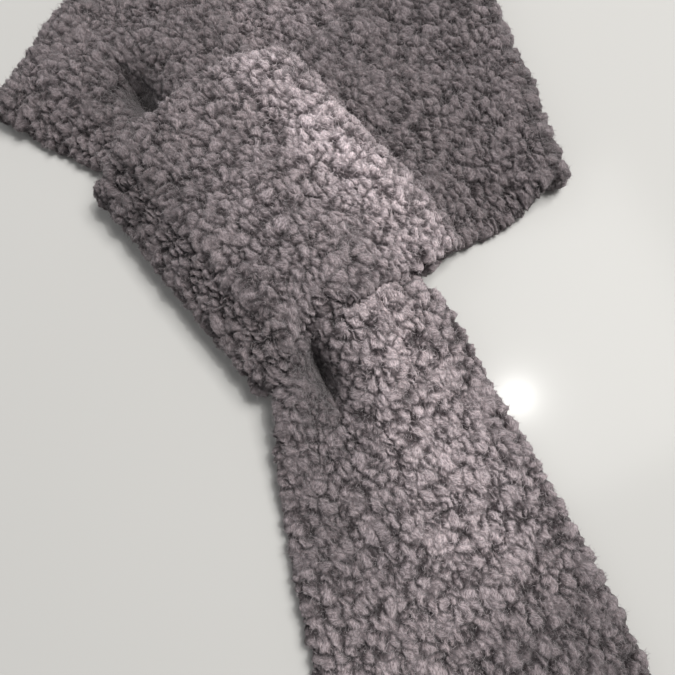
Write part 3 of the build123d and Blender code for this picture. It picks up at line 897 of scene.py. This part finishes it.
def growPile(name, mid, side, rows, shareRange, cover, paintedLight, step, finish, wrapsEnd=False):
    # the pile on one stretch of a sheet, as a closed piece: rows and shareRange say where it grows
    v = pileValues
    first, last = rows
    normals = gridNormals(mid)
    across = np.gradient(mid, axis=1)
    across /= np.maximum(np.linalg.norm(across, axis=2, keepdims=True), 1e-12)
    length = float(np.linalg.norm(np.diff(mid[first : last + 1, mid.shape[1] // 2], axis=0), axis=1).sum())
    rowPlaces = np.linspace(first, last, max(5, int(round(length / step)) + 1))
    width = stripWidth * (shareRange[1] - shareRange[0])
    shares = np.linspace(*shareRange, max(7, int(round(width / step)) + 1))
    fineShare = v["edgeFineReach"] / stripWidth
    extra = (shares[1:] + shares[:-1]) / 2
    extra = extra[(extra < fineShare) | (extra > 1 - fineShare)]
    shares = np.sort(np.concatenate([shares, extra]))
    columnPlaces = shares * (mid.shape[1] - 1)
    middle = blendRows(mid, rowPlaces, columnPlaces)
    normal = blendRows(normals, rowPlaces, columnPlaces)
    normal /= np.maximum(np.linalg.norm(normal, axis=2, keepdims=True), 1e-12)
    out = blendRows(across, rowPlaces, columnPlaces)
    q = 2 * shares - 1
    lean = (np.sign(q) * np.abs(q) ** 18)[None, :, None]
    endLean = np.zeros((len(rowPlaces), 1, 1))
    if wrapsEnd:
        left = np.linspace(length, 0, len(rowPlaces))
        endLean[:, 0, 0] = np.clip(1 - left / v["endReach"], 0, 1) ** 2
    along = blendRows(np.gradient(mid, axis=0), rowPlaces, columnPlaces)
    along /= np.maximum(np.linalg.norm(along, axis=2, keepdims=True), 1e-12)
    rise = np.sqrt(np.maximum(1 - lean**2 - endLean**2 * (1 - lean**2), 0))
    way = side * normal * rise + out * lean + along * endLean * np.sqrt(1 - lean**2)
    base = middle + side * normal * rise * stripValues["halfThickness"]
    coverFine = blendRows(cover, rowPlaces, columnPlaces)
    # painted light and shade, carried to the shader as a point attribute
    paintedLightFine = blendRows(paintedLight, rowPlaces, columnPlaces)
    count = base.shape[0] * base.shape[1]
    index = np.arange(count).reshape(base.shape[:2])
    skip = max(2, int(round(0.006 / step)))
    innerRows, innerColumns = (
        np.unique(np.linspace(2, size - 3, max(2, size // skip)).astype(int)) for size in base.shape[:2])
    hidden = (base - way * v["skirt"])[np.ix_(innerRows, innerColumns)]
    hiddenIndex = count + np.arange(hidden.shape[0] * hidden.shape[1]).reshape(hidden.shape[:2])
    outerLoop, outerPlaces = rimOf(index)
    innerLoop, innerPlaces = rimOf(hiddenIndex)
    quads = np.concatenate([gridQuads(index), gridQuads(hiddenIndex)[:, ::-1]])
    triangles = joinRims(outerLoop, outerPlaces, innerLoop, innerPlaces)
    if side < 0:
        quads, triangles = quads[:, ::-1], triangles[:, ::-1]
    points = np.concatenate([base.reshape(-1, 3), hidden.reshape(-1, 3)])
    source = addPiece(name + "Ground", meshFromArrays(name + "Ground", points, quads, triangles))
    amount = np.zeros(len(points), np.float32)
    amount[:count] = coverFine.ravel()
    direction = np.zeros((len(points), 3), np.float32)
    direction[:count] = way.reshape(-1, 3)
    paintedLightTone = np.ones(len(points), np.float32)
    paintedLightTone[:count] = paintedLightFine.ravel()
    for label, kind, key, values in (
        ("pileCover", "FLOAT", "value", amount), ("napShade", "FLOAT", "value", paintedLightTone),
        ("pileWay", "FLOAT_VECTOR", "vector", direction.ravel()),
    ):
        source.data.attributes.new(label, kind, "POINT").data.foreach_set(key, values)
    piece = plainMesh(name, source, curlyPile, {"Finish": finish})
    bpy.data.objects.remove(source)
    for spare in ("pileWay", "pileCover"):
        piece.data.attributes.remove(piece.data.attributes[spare])
    print(name, len(piece.data.polygons), "faces")
    return piece


ringMid, ringMarks, ringCover = ringRows()
waves = stripValues["undulation"] * ripple(ringMid, 0.06, 3)
ringMid = ringMid + gridNormals(ringMid) * waves[:, :, None]
ringMid[:, :, 2] = np.maximum(ringMid[:, :, 2], stripValues["lowest"])
gatherMid = gatheredRows()
tailMid, tailPast, tailCover = tailRows()
tailMid[:, :, 2] = np.maximum(tailMid[:, :, 2], stripValues["lowest"])

thickness, pleatThickness = stripValues["halfThickness"], stripValues["pleatThickness"]
ringFace = sheetPiece("ringFace", ringMid, 1, thickness)
ringLining = sheetPiece("ringLining", ringMid, -1, thickness)
gatherFace = sheetPiece("gatherFace", gatherMid, 1, pleatThickness)
gatherLining = sheetPiece("gatherLining", gatherMid, -1, pleatThickness)
tailFace = sheetPiece("tailFace", tailMid, 1, thickness)
tailLining = sheetPiece("tailLining", tailMid, -1, thickness)
print("sheets made")

span = {name: (start, start + count) for name, start, count in ringMarks}
span["loopReturn"] = (span["loopReturn"][0], len(ringMid) - 1)
visible, hidden = pileValues["step"], pileValues["hiddenStep"]

# painted light and shade in the pile's colour: a painted highlight along the loop's ridge, brighter where
# the fleece faces the key light, darker on flanks turned away, with the nap's direction folded in
paintedLightValues = {
    "panels": 0.76,
    "back": 1.14,
    "ridgeHighlight": 2.35,
    "loopTop": 1.12,
    "loopLeftShade": 0.72,
    "tailHighlight": 1.85,
    "tailLeft": 0.86,
    "tailRightLow": 0.76,
    "tailLower": 1.18,
    "slitPaintedShade": 0.97,
    "creasePaintedShade": 0.75,
}
lightX = ringMid[:, :, 0]
ringPaintedLight = np.full(ringMid.shape[:2], paintedLightValues["panels"])
# painted shadow along the crease where the right panel's upper edge lies over the neck's back
creaseShadow = np.exp(-(((ringMid[:, :, 1] - rightFar[1] - 0.006) / 0.0065) ** 2))
creaseShadow = creaseShadow * softStep(lightX, 0.066, 0.082)
onBack = slice(*span["neckBack"])
ringPaintedLight[onBack] = paintedLightValues["back"]
onLoop = slice(span["loopTop"][0], len(ringMid))
# painted shade on the loop's left flank, turned from the light, and a painted highlight on the ridge by
# the shoulder; a little darker towards the far edge
loopPaintedLight = paintedLightValues["loopLeftShade"] + (paintedLightValues["loopTop"] - paintedLightValues["loopLeftShade"]) * softStep(
    lightX, turnStartX - 0.015, 0.0)
loopPaintedLight += (paintedLightValues["ridgeHighlight"] - paintedLightValues["loopTop"]) * softStep(
    lightX, 0.018, shoulderX - 0.004) * (1 - 0.35 * softStep(-ringMid[:, :, 1], 0.01, 0.07))
loopPaintedLight *= 1 - 0.16 * softStep(ringMid[:, :, 1], 0.0, 0.05)
pastShoulder = softStep(lightX, shoulderX + 0.006, panelStartX)
loopPaintedLight = loopPaintedLight * (1 - pastShoulder) + paintedLightValues["panels"] * pastShoulder
ringPaintedLight[onLoop] = loopPaintedLight[onLoop]
# painted shade down in the slits, where the pile is thin
ringPaintedLight = smoothRows(ringPaintedLight, 6) * (1 - paintedLightValues["slitPaintedShade"] * (1 - ringCover))
# the painted crease shadow on the neck's back
ringPaintedLight[onBack] *= 1 - paintedLightValues["creasePaintedShade"] * creaseShadow[onBack]
lightShare = np.linspace(0, 1, tailMid.shape[1])[None, :]


def down(low, high):
    # 0 to 1 from one place along the tail to another
    return softStep(tailPast, low, high)[:, None]


# painted light and shade on the tail: a painted highlight on the middle of its upper part, darker to the
# left and at the lower right, lighter lower down
middleHighlight = np.exp(-(((lightShare - 0.30) / 0.26) ** 2)) * (1 - 0.92 * down(0.12, 0.22))
tailPaintedLight = 1.0 + (paintedLightValues["tailHighlight"] - 1) * middleHighlight
tailPaintedLight *= 1 - (1 - paintedLightValues["tailLeft"]) * softStep(lightShare, 0.60, 0.85) * (1 - down(0.10, 0.16))
tailPaintedLight *= 1 + (paintedLightValues["tailLower"] - 1) * softStep(lightShare, 0.3, 0.6) * down(0.11, 0.17)
tailPaintedLight *= 1 - (1 - paintedLightValues["tailRightLow"]) * (1 - softStep(lightShare, 0.35, 0.6)) * down(0.14, 0.2)
# painted shade down in the tail's slit
tailPaintedLight *= 1 - paintedLightValues["slitPaintedShade"] * (1 - tailCover) * down(-0.016, -0.006)
tunnelRows = int(np.argmax(ringMid[:, 30, 1] > loopHigh[1] - 0.012))
leftRows, rightRows = (tunnelRows, span["leftTurn"][0]), span["rightPanel"]
ringPiles = [
    growPile(name + "Pile", ringMid, 1, rows, (0, 1), ringCover, ringPaintedLight, step, facePile)
    for name, rows, step in (
        ("leftPanel", leftRows, visible), ("leftTurn", span["leftTurn"], visible),
        ("neckBack", span["neckBack"], hidden), ("rightTurn", span["rightTurn"], visible),
        ("rightPanel", rightRows, visible), ("loopTop", span["loopTop"], visible),
        ("loopTurn", span["loopTurn"], visible), ("loopReturn", span["loopReturn"], hidden),
    )
]

# the lining's pile: seen through the neck opening, and narrow bands at the edges elsewhere
columns = np.linspace(0, 1, ringMid.shape[1])
intoOpening = ringMid[:, :, 0] - (gatherHigh[0] + 0.011 + (ringMid[:, :, 1] - leftFar[1]) * 0.2 + 0.03)
seen = softStep(intoOpening, -0.016, 0.0)
seen = seen * softStep(ringMid[:, :, 1], rightFar[1] - 0.014, rightFar[1] - 0.002)
seen = np.maximum(seen, softStep(columns, 0.95, 1.0)[None, :]) * np.ones_like(ringCover)
bands = ringCover * (1 - softStep(np.minimum(columns, 1 - columns), 0.03, 0.085))[None, :]
loopRows = (span["loopTop"][0], span["loopReturn"][0])
openingStep, liningStep = pileValues["openingStep"], pileValues["liningStep"]
liningPiles = [
    growPile(name + "Pile", ringMid, -1, rows, shareRange, amount, ringPaintedLight, step, liningPile)
    for name, rows, shareRange, amount, step in (
        ("neckBackTop", span["neckBack"], (0, 1), seen, openingStep),
        ("leftPanelNear", leftRows, (0, 0.1), bands, liningStep),
        ("leftPanelFar", leftRows, (0.9, 1), bands, liningStep),
        ("rightPanelNear", rightRows, (0, 0.1), bands, liningStep),
        ("rightPanelFar", rightRows, (0.9, 1), bands, liningStep),
        ("loopNear", loopRows, (0, 0.09), bands, liningStep),
        ("loopFar", loopRows, (0.91, 1), bands, liningStep),
    )
]
tailStart = int(np.argmax(tailPast > -0.050))
tailMiddle = (tailStart + len(tailMid) - 1) // 2
tailEnd = len(tailMid) - 1
labelPlace = np.array(jointNamed("label_flip")["pos_m"], float)
labelGap = np.linalg.norm((tailMid - labelPlace) * [1, 1, 0], axis=2)
labelReach = stripWidth * 0.08
tailCover *= 0.25 + 0.75 * softStep(labelGap, labelReach, labelReach + pileValues["labelRoom"])
tailPiles = [
    growPile(name, tailMid, 1, rows, (0, 1), tailCover, tailPaintedLight, visible, facePile, wrapsEnd)
    for name, rows, wrapsEnd in (
        ("tailUpperPile", (tailStart, tailMiddle), False), ("tailLowerPile", (tailMiddle, tailEnd), True))
]
tailUnderPile = growPile(
    "tailUnderPile", tailMid, -1, (tailStart, tailEnd), (0, 1), tailCover, np.ones_like(tailCover),
    hidden, liningPile, True)
print("pile grown")

# loose fibres that stand out of the pile

fibreValues = {
    "variants": 6,
    "length": 0.0044,
    "radius": 0.00016,
    "perSquareMetre": 270000.0,
    "leastThick": 0.2,  # share of that number down between the locks
    "leastSize": 0.45,
    "lean": 1.15,
    "bend": (60, 150),  # degrees
    "root": 0.0004,
    "seed": 40,
}


def fibreMesh(number):
    v = fibreValues
    rng = np.random.default_rng(v["seed"] + number)
    heading, turn = rng.uniform(0, 6.28), math.radians(rng.uniform(*v["bend"])) * rng.choice([-1, 1])
    path = [np.array([0.0, 0.0, -v["root"]])]
    for k in range(1, 3):
        u = k / 2
        angle = heading + turn * u
        climb = math.cos(1.1 * u)
        step = np.array([math.cos(angle) * 0.7, math.sin(angle) * 0.7, climb])
        path.append(path[-1] + step / np.linalg.norm(step) * v["length"] / 2)
    points, faces = [], []
    for k in range(2):
        for side in range(3):
            a = 2.1 * side + 0.4 * k
            radius = v["radius"] * (1.0, 0.9)[k]
            points.append(path[k] + radius * np.array([math.cos(a), math.sin(a), 0.0]))
    points.append(path[2])
    for side in range(3):
        a, b = side, (side + 1) % 3
        faces += [(a, b, b + 3, a + 3), (a + 3, b + 3, 6)]
    faces.append((2, 1, 0))
    mesh = bpy.data.meshes.new(f"fibre{number}")
    mesh.from_pydata([tuple(p) for p in points], [], faces)
    mesh.polygons.foreach_set("use_smooth", np.ones(len(mesh.polygons), bool))
    return mesh


fibreShelf = bpy.data.collections.new("fibreShelf")
for number in range(fibreValues["variants"]):
    fibreShelf.objects.link(bpy.data.objects.new(f"fibre{number}", fibreMesh(number)))


def fibreTree():
    # scatters short curled fibres over a grown pile
    v = fibreValues
    tree, given, result = newGroup("looseFibres", "GeometryNodeTree", [
        ("Geometry", "Geometry"), ("Density", "Float", v["perSquareMetre"]),
        ("Lean", "Vector", (v["lean"], v["lean"], math.pi)), ("Seed", "Int", 1),
        ("Finish", "Material")], [("Geometry", "Geometry")])
    thick = mathNode(tree, "MAXIMUM", namedValue(tree, "lockRise"), v["leastThick"])
    points = addNode(tree, "GeometryNodeDistributePointsOnFaces", {
        "Mesh": given["Geometry"], "Seed": given["Seed"],
        "Density": mathNode(tree, "MULTIPLY", given["Density"], thick)}).outputs
    shelf = addNode(tree, "GeometryNodeCollectionInfo", {
        "Collection": fibreShelf, "Separate Children": True, "Reset Children": True})
    angles = addNode(tree, "FunctionNodeRandomValue", {
        "Min": scaledNode(tree, given["Lean"], -1.0), "Max": given["Lean"]}, data_type="FLOAT_VECTOR")
    leaning = addNode(tree, "FunctionNodeEulerToRotation", {0: angles.outputs["Value"]})
    turned = addNode(tree, "FunctionNodeRotateRotation", {
        0: points["Rotation"], 1: leaning.outputs[0]}, rotation_space="LOCAL")
    sizes = addNode(tree, "FunctionNodeRandomValue", {2: v["leastSize"], 3: 1.0}, data_type="FLOAT")
    placed = addNode(tree, "GeometryNodeInstanceOnPoints", {
        "Points": points["Points"], "Instance": shelf.outputs["Instances"], "Pick Instance": True,
        "Rotation": turned.outputs[0], "Scale": sizes.outputs[1]})
    return finishTree(tree, placed.outputs["Instances"], given, result)


looseFibres = fibreTree()


def keepOffFloor(piece):
    points = np.empty(len(piece.data.vertices) * 3, np.float32)
    piece.data.vertices.foreach_get("co", points)
    points[2::3] = np.maximum(points[2::3], pileValues["floor"])
    piece.data.vertices.foreach_set("co", points)
    piece.data.update()


def addFibres(pile, seed):
    piece = plainMesh(pile.name.replace("Pile", "Fibres"), pile, looseFibres, {
        "Seed": seed, "Finish": fibreFinish})
    keepOffFloor(piece)
    print(piece.name, len(piece.data.polygons), "faces")
    return piece


shownRing = [p for p in ringPiles if p.name not in ("neckBackPile", "loopReturnPile")]
ringFibres = [addFibres(pile, 50 + k) for k, pile in enumerate(shownRing + liningPiles[:1])]
tailFibres = [addFibres(pile, 70 + k) for k, pile in enumerate(tailPiles)]

# seams: a folded seam allowance along each edge, and its stitches

seamValues = {
    "radius": 0.0013,
    "sides": 8,
    "stitchLength": 0.0030,
    "stitchPitch": 0.0042,
    "stitchRadius": 0.00035,
    "holdHeight": 0.0052,  # the closed end's two rows, over the strip's middle
    "holdPitch": 0.0055,
}


def tubeMesh(name, path, radius, sides):
    # a closed tube along a path
    tangents = np.gradient(path, axis=0)
    tangents /= np.maximum(np.linalg.norm(tangents, axis=1, keepdims=True), 1e-12)
    sideways = np.cross(tangents, up)
    weak = np.linalg.norm(sideways, axis=1) < 0.05
    sideways[weak] = np.cross(tangents[weak], [0, 1, 0])
    sideways /= np.linalg.norm(sideways, axis=1, keepdims=True)
    over = np.cross(sideways, tangents)
    angles = 2 * math.pi * np.arange(sides) / sides
    rings = path[:, None] + radius * (
        sideways[:, None] * np.cos(angles)[None, :, None] + over[:, None] * np.sin(angles)[None, :, None])
    points = np.concatenate([rings.reshape(-1, 3), path[:1], path[-1:]])
    index = np.arange(len(path) * sides).reshape(len(path), sides)
    index = np.concatenate([index, index[:, :1]], axis=1)
    first, last = len(points) - 2, len(points) - 1
    caps = [(index[0, k], index[0, k + 1], first) for k in range(sides)]
    caps += [(index[-1, k + 1], index[-1, k], last) for k in range(sides)]
    return meshFromArrays(name, points, gridQuads(index), np.array(caps))


def stitchMesh():
    v = seamValues
    along = np.linspace(-0.5, 0.5, 5)[:, None] * v["stitchLength"]
    path = np.concatenate([along, np.zeros_like(along), np.zeros_like(along)], axis=1)
    path[:, 2] = v["stitchRadius"] * (1 - (2 * along[:, 0] / v["stitchLength"]) ** 2)
    return tubeMesh("stitch", path, v["stitchRadius"], 5)


stitchShelf = bpy.data.collections.new("stitchShelf")
stitchShelf.objects.link(bpy.data.objects.new("stitch", stitchMesh()))


def stitchTree():
    # a row of stitches along a curve
    tree, given, result = newGroup("stitchRow", "GeometryNodeTree", [
        ("Geometry", "Geometry"), ("Pitch", "Float", seamValues["stitchPitch"]),
        ("Finish", "Material")], [("Geometry", "Geometry")])
    curve = addNode(tree, "GeometryNodeMeshToCurve", {"Mesh": given["Geometry"]})
    spaced = addNode(tree, "GeometryNodeResampleCurve", {
        "Curve": curve.outputs["Curve"], "Length": given["Pitch"]}, mode="LENGTH")
    tangent = tree.nodes.new("GeometryNodeInputTangent").outputs[0]
    turned = addNode(tree, "FunctionNodeAlignRotationToVector", {"Vector": tangent}, axis="X")
    shelf = addNode(tree, "GeometryNodeCollectionInfo", {"Collection": stitchShelf})
    placed = addNode(tree, "GeometryNodeInstanceOnPoints", {
        "Points": spaced.outputs["Curve"], "Instance": shelf.outputs["Instances"],
        "Rotation": turned.outputs[0]})
    return finishTree(tree, placed.outputs["Instances"], given, result)


stitchRow = stitchTree()


def stitchesAlong(name, paths, finish, pitch=None):
    # one piece: the stitches of one or more rows
    points = np.concatenate(paths)
    edges, start = [], 0
    for path in paths:
        edges += [(start + k, start + k + 1) for k in range(len(path) - 1)]
        start += len(path)
    mesh = bpy.data.meshes.new(name + "Line")
    mesh.from_pydata([tuple(q) for q in points], edges, [])
    source = addPiece(name + "Line", mesh)
    piece = plainMesh(name, source, stitchRow, {
        "Finish": finish, "Pitch": pitch or seamValues["stitchPitch"]})
    bpy.data.objects.remove(source)
    return piece


def joined(name, pieces):
    # several meshes made one piece
    for other in pieces:
        other.select_set(False)
    with bpy.context.temp_override(active_object=pieces[0], selected_editable_objects=pieces):
        bpy.ops.object.join()
    pieces[0].name = name
    pieces[0].data.name = name
    return pieces[0]


def seamAlong(name, paths):
    # the seam allowance of one or more edges with its stitches, as one piece
    v = seamValues
    parts = []
    for k, path in enumerate(paths):
        welt = addPiece(f"{name}{k}", tubeMesh(f"{name}{k}", path, v["radius"], v["sides"]))
        welt.data.materials.append(seamFinish)
        parts.append(welt)
    raisedPaths = [path + up * (v["radius"] * 0.9) for path in paths]
    parts.append(stitchesAlong(name + "Stitches", raisedPaths, threadFinish))
    return joined(name, parts)


loopStart = span["loopTop"][0]
nearEdge, farEdge = ringMid[:, 0], ringMid[:, -1]
ringNearSeam = seamAlong("ringNearSeam", [nearEdge[tunnelRows:loopStart]])
ringFarSeam = seamAlong("ringFarSeam", [farEdge[tunnelRows:loopStart]])
loopSeams = seamAlong("loopSeams", [nearEdge[loopStart:], farEdge[loopStart:]])
gatherSeams = seamAlong("gatherSeams", [gatherMid[2:, 0], gatherMid[2:, -1]])
tailRightSeam = seamAlong("tailRightSeam", [tailMid[4:-3, 0]])
tailLeftSeam = seamAlong("tailLeftSeam", [tailMid[4:-3, -1]])
tailEndSeam = seamAlong("tailEndSeam", [tailMid[-1]])
loopEndHem = seamAlong("loopEndHem", [ringMid[-1]])
loopHold = [(ringMid[row] + up * seamValues["holdHeight"])[4:-4] for row in (-4, -6)]
loopHoldStitches = stitchesAlong("loopHoldStitches", loopHold, threadFinish, seamValues["holdPitch"])
print("seams sewn")

# care label: a blank woven tape, folded in two and caught in the tail's edge

labelValues = {
    "leafGap": 0.0006,
    "thickness": 0.00035,
    "along": 25,
    "out": 24,
    "curl": 0.0016,
    "weaveRow": 0.0009,  # between rows in the weave's own coordinates
    "caughtAt": 0.002,  # from the folded edge to its stitches
}


def labelPiece():
    v = labelValues
    flip = jointNamed("label_flip")
    hinge = np.array(flip["pos_m"], float)
    alongEdge = np.array(flip["axis"], float)
    alongEdge /= np.linalg.norm(alongEdge)
    points = np.array([q.co for q in frame["nodes"]["care_label"].data.vertices], float)
    reachAlong = (points - hinge) @ alongEdge
    halfLong = float(reachAlong.max() - reachAlong.min()) / 2
    outward = points[np.argmin(points[:, 2])] - hinge
    outward -= alongEdge * float(outward @ alongEdge)
    reach = float(np.linalg.norm(outward)) - 0.0008
    outward /= np.linalg.norm(outward)
    upward = np.cross(outward, alongEdge)
    if upward[2] < 0:
        upward = -upward
    bend = v["leafGap"] / 2 + v["thickness"] / 2
    line = [(u * (reach - bend), bend) for u in np.linspace(0, 1, v["out"])]
    fold = np.linspace(0, math.pi, 9)[1:-1]
    line += [(reach - bend + bend * math.sin(a), bend * math.cos(a)) for a in fold]
    line += [(u * (reach - bend), -bend) for u in np.linspace(1, 0, v["out"])]
    line = np.array(line)
    across = np.linspace(-halfLong, halfLong, v["along"])
    mid = np.empty((len(line), len(across), 3))
    for k, (out, lift) in enumerate(line):
        wave = v["curl"] * (out / reach) ** 2 * np.cos(across / halfLong * 2.2)
        mid[k] = hinge + outward * out + upward * lift + alongEdge * across[:, None]
        mid[k] += upward * wave[:, None] * 0.5
    normals = gridNormals(mid)
    outer, inner = mid + normals * v["thickness"] / 2, mid - normals * v["thickness"] / 2
    rows, columns = mid.shape[:2]
    index = np.arange(rows * columns).reshape(rows, columns)
    rim, places = rimOf(index)
    triangles = joinRims(rim, places, rim + rows * columns, places)
    mesh = meshFromArrays(
        "careLabel", np.concatenate([outer.reshape(-1, 3), inner.reshape(-1, 3)]),
        np.concatenate([gridQuads(index), gridQuads(index + rows * columns)[:, ::-1]]), triangles)
    coordinates = mesh.uv_layers.new(name="weave")
    flat = np.stack(np.meshgrid(across, np.arange(rows) * v["weaveRow"]), axis=2).reshape(-1, 2)
    flat = np.concatenate([flat, flat])
    corners = np.empty(len(mesh.loops), np.int32)
    mesh.loops.foreach_get("vertex_index", corners)
    coordinates.data.foreach_set("uv", flat[corners].astype(np.float32).ravel())
    piece = addPiece("careLabel", mesh)
    piece.data.materials.append(tapeFinish)
    keepOffFloor(piece)
    sewn = np.linspace(-halfLong * 0.9, halfLong * 0.9, 12)[:, None]
    caught = hinge + outward * v["caughtAt"] + upward * (bend + v["thickness"]) + alongEdge * sewn
    under = caught - upward * 2 * (bend + v["thickness"])
    stitches = stitchesAlong("careLabelStitches", [caught, under], threadFinish)
    return piece, stitches, 2 * halfLong, 2 * reach


careLabel, careLabelStitches, labelWidth, labelCut = labelPiece()
print("label made")

# riding

ringSeams = [ringNearSeam, ringFarSeam, loopSeams, loopEndHem, loopHoldStitches]
tailSeams = [tailRightSeam, tailLeftSeam, tailEndSeam]
for piece in [ringFace, ringLining, *ringPiles, *liningPiles, *ringFibres, *ringSeams]:
    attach(piece, "neck_ring")
for piece in (careLabel, careLabelStitches):
    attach(piece, "label")
for piece in (gatherFace, gatherLining, gatherSeams):
    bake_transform(piece)
for piece in (tailFace, tailLining, *tailPiles, tailUnderPile, *tailFibres, *tailSeams):
    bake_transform(piece)

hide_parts("neck_back_face", "left_turn_face", "right_turn_face", "left_panel_face",
            "right_panel_face", "loop_top_face", "loop_turn_face", "loop_return_face")
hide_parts("neck_back_lining", "left_turn_lining", "right_turn_lining", "left_panel_lining",
            "right_panel_lining", "loop_top_lining", "loop_turn_lining", "loop_return_lining")
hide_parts("gathered_strip_face")
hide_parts("gathered_strip_lining")
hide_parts("tail_face")
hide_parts("tail_lining")
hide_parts("panel_outer_seams")
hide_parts("panel_neckline_seams")
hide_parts("loop_edge_seams")
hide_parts("loop_end_hem")
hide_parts("loop_end_stitches")
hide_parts("gathered_strip_seams")
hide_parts("tail_right_seam")
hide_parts("tail_left_seam")
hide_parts("tail_end_seam")
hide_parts("care_label")
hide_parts("care_label_stitches")


def runLength(mid):
    middle = mid[:, mid.shape[1] // 2]
    return float(np.linalg.norm(np.diff(middle, axis=0), axis=1).sum())


def flatArea(mid):
    a, b = mid[1:, :-1] - mid[:-1, :-1], mid[:-1, 1:] - mid[:-1, :-1]
    return float(np.linalg.norm(np.cross(a, b), axis=2).sum())


for piece, mid, held, piles in (
    (ringFace, ringMid, "folded", [*ringPiles, *ringFibres[:-1]]),
    (ringLining, ringMid, "folded", [*liningPiles, ringFibres[-1]]),
    (gatherFace, gatherMid, "gathered", [gatherSeams]),
    (gatherLining, gatherMid, "gathered", []),
    (tailFace, tailMid, "laid", [*tailPiles, *tailFibres]),
    (tailLining, tailMid, "laid", [tailUnderPile]),
):
    print(piece.name, "length", round(runLength(mid), 3), "area", round(flatArea(mid), 4))

# floor, light and camera

stageValues = {
    "viewPoint": (-0.0749, -0.1593, 0.4018),
    "target": (-0.0161, -0.0892, 0.0350),
    "lens": 36.1,
    "floorColour": (0.495, 0.492, 0.480, 1.0),
    "floorRoughness": 0.15,
    "floorGloss": 0.065,
    "keyAzimuth": -14.0,
    "keyElevation": 66.0,
    "keyDistance": 2.4,
    "keySize": 1.1,
    "keyPower": 57.0,
    "glintPlace": (0.043, -0.190),
    "glintAzimuth": -8.0,
    "glintElevation": 72.8,
    "glintDistance": 1.5,
    "glintSize": 0.05,
    "glintPower": 5.5,
    "fillAzimuth": 120.0,
    "fillElevation": 40.0,
    "fillDistance": 1.9,
    "fillSize": 1.3,
    "fillPower": 5.0,
    "worldLight": 0.24,
}


def makeFloor():
    bpy.ops.mesh.primitive_plane_add(size=8.0, location=(0, 0, 0))
    floor = bpy.context.active_object
    floor.name = "floor"
    material, _, _ = newMaterial("paleTable", {
        "Base Color": stageValues["floorColour"], "Roughness": stageValues["floorRoughness"],
        "Specular IOR Level": stageValues["floorGloss"]})
    floor.data.materials.append(material)


def areaLight(lamp, colour, centre=(0.0, 0.0)):
    # one lamp of stageValues, which points at the middle of the table
    azimuth, elevation, distance, size, power = (
        stageValues[lamp + part] for part in ("Azimuth", "Elevation", "Distance", "Size", "Power"))
    a, e = math.radians(azimuth), math.radians(elevation)
    place = Vector((math.cos(a) * math.cos(e), math.sin(a) * math.cos(e), math.sin(e))) * distance
    place = Vector((*centre, 0.0)) + place
    data = bpy.data.lights.new(lamp + "Light", "AREA")
    data.size = size
    data.energy = power
    data.color = colour
    light = bpy.data.objects.new(lamp + "Light", data)
    light.location = place
    light.rotation_mode = "QUATERNION"
    light.rotation_quaternion = (-place).to_track_quat("-Z", "Y")
    bpy.context.scene.collection.objects.link(light)


makeFloor()
areaLight("key", (1.0, 0.985, 0.96))
areaLight("glint", (1.0, 0.99, 0.97), stageValues["glintPlace"])
areaLight("fill", (0.97, 0.985, 1.0))
world = bpy.data.worlds.new("studio")
world.use_nodes = True
background = world.node_tree.nodes["Background"].inputs
background["Color"].default_value = (1.0, 0.99, 0.985, 1)
background["Strength"].default_value = stageValues["worldLight"]
bpy.context.scene.world = world
bpy.context.scene.view_settings.view_transform = "Standard"

cameraData = bpy.data.cameras.new("camera")
cameraData.lens = stageValues["lens"]
cameraData.sensor_width = 36.0
cameraData.clip_start = 0.01
camera = bpy.data.objects.new("camera", cameraData)
camera.location = stageValues["viewPoint"]
camera.rotation_mode = "QUATERNION"
looking = Vector(stageValues["target"]) - Vector(stageValues["viewPoint"])
camera.rotation_quaternion = looking.to_track_quat("-Z", "Y")
bpy.context.scene.collection.objects.link(camera)
bpy.context.scene.camera = camera
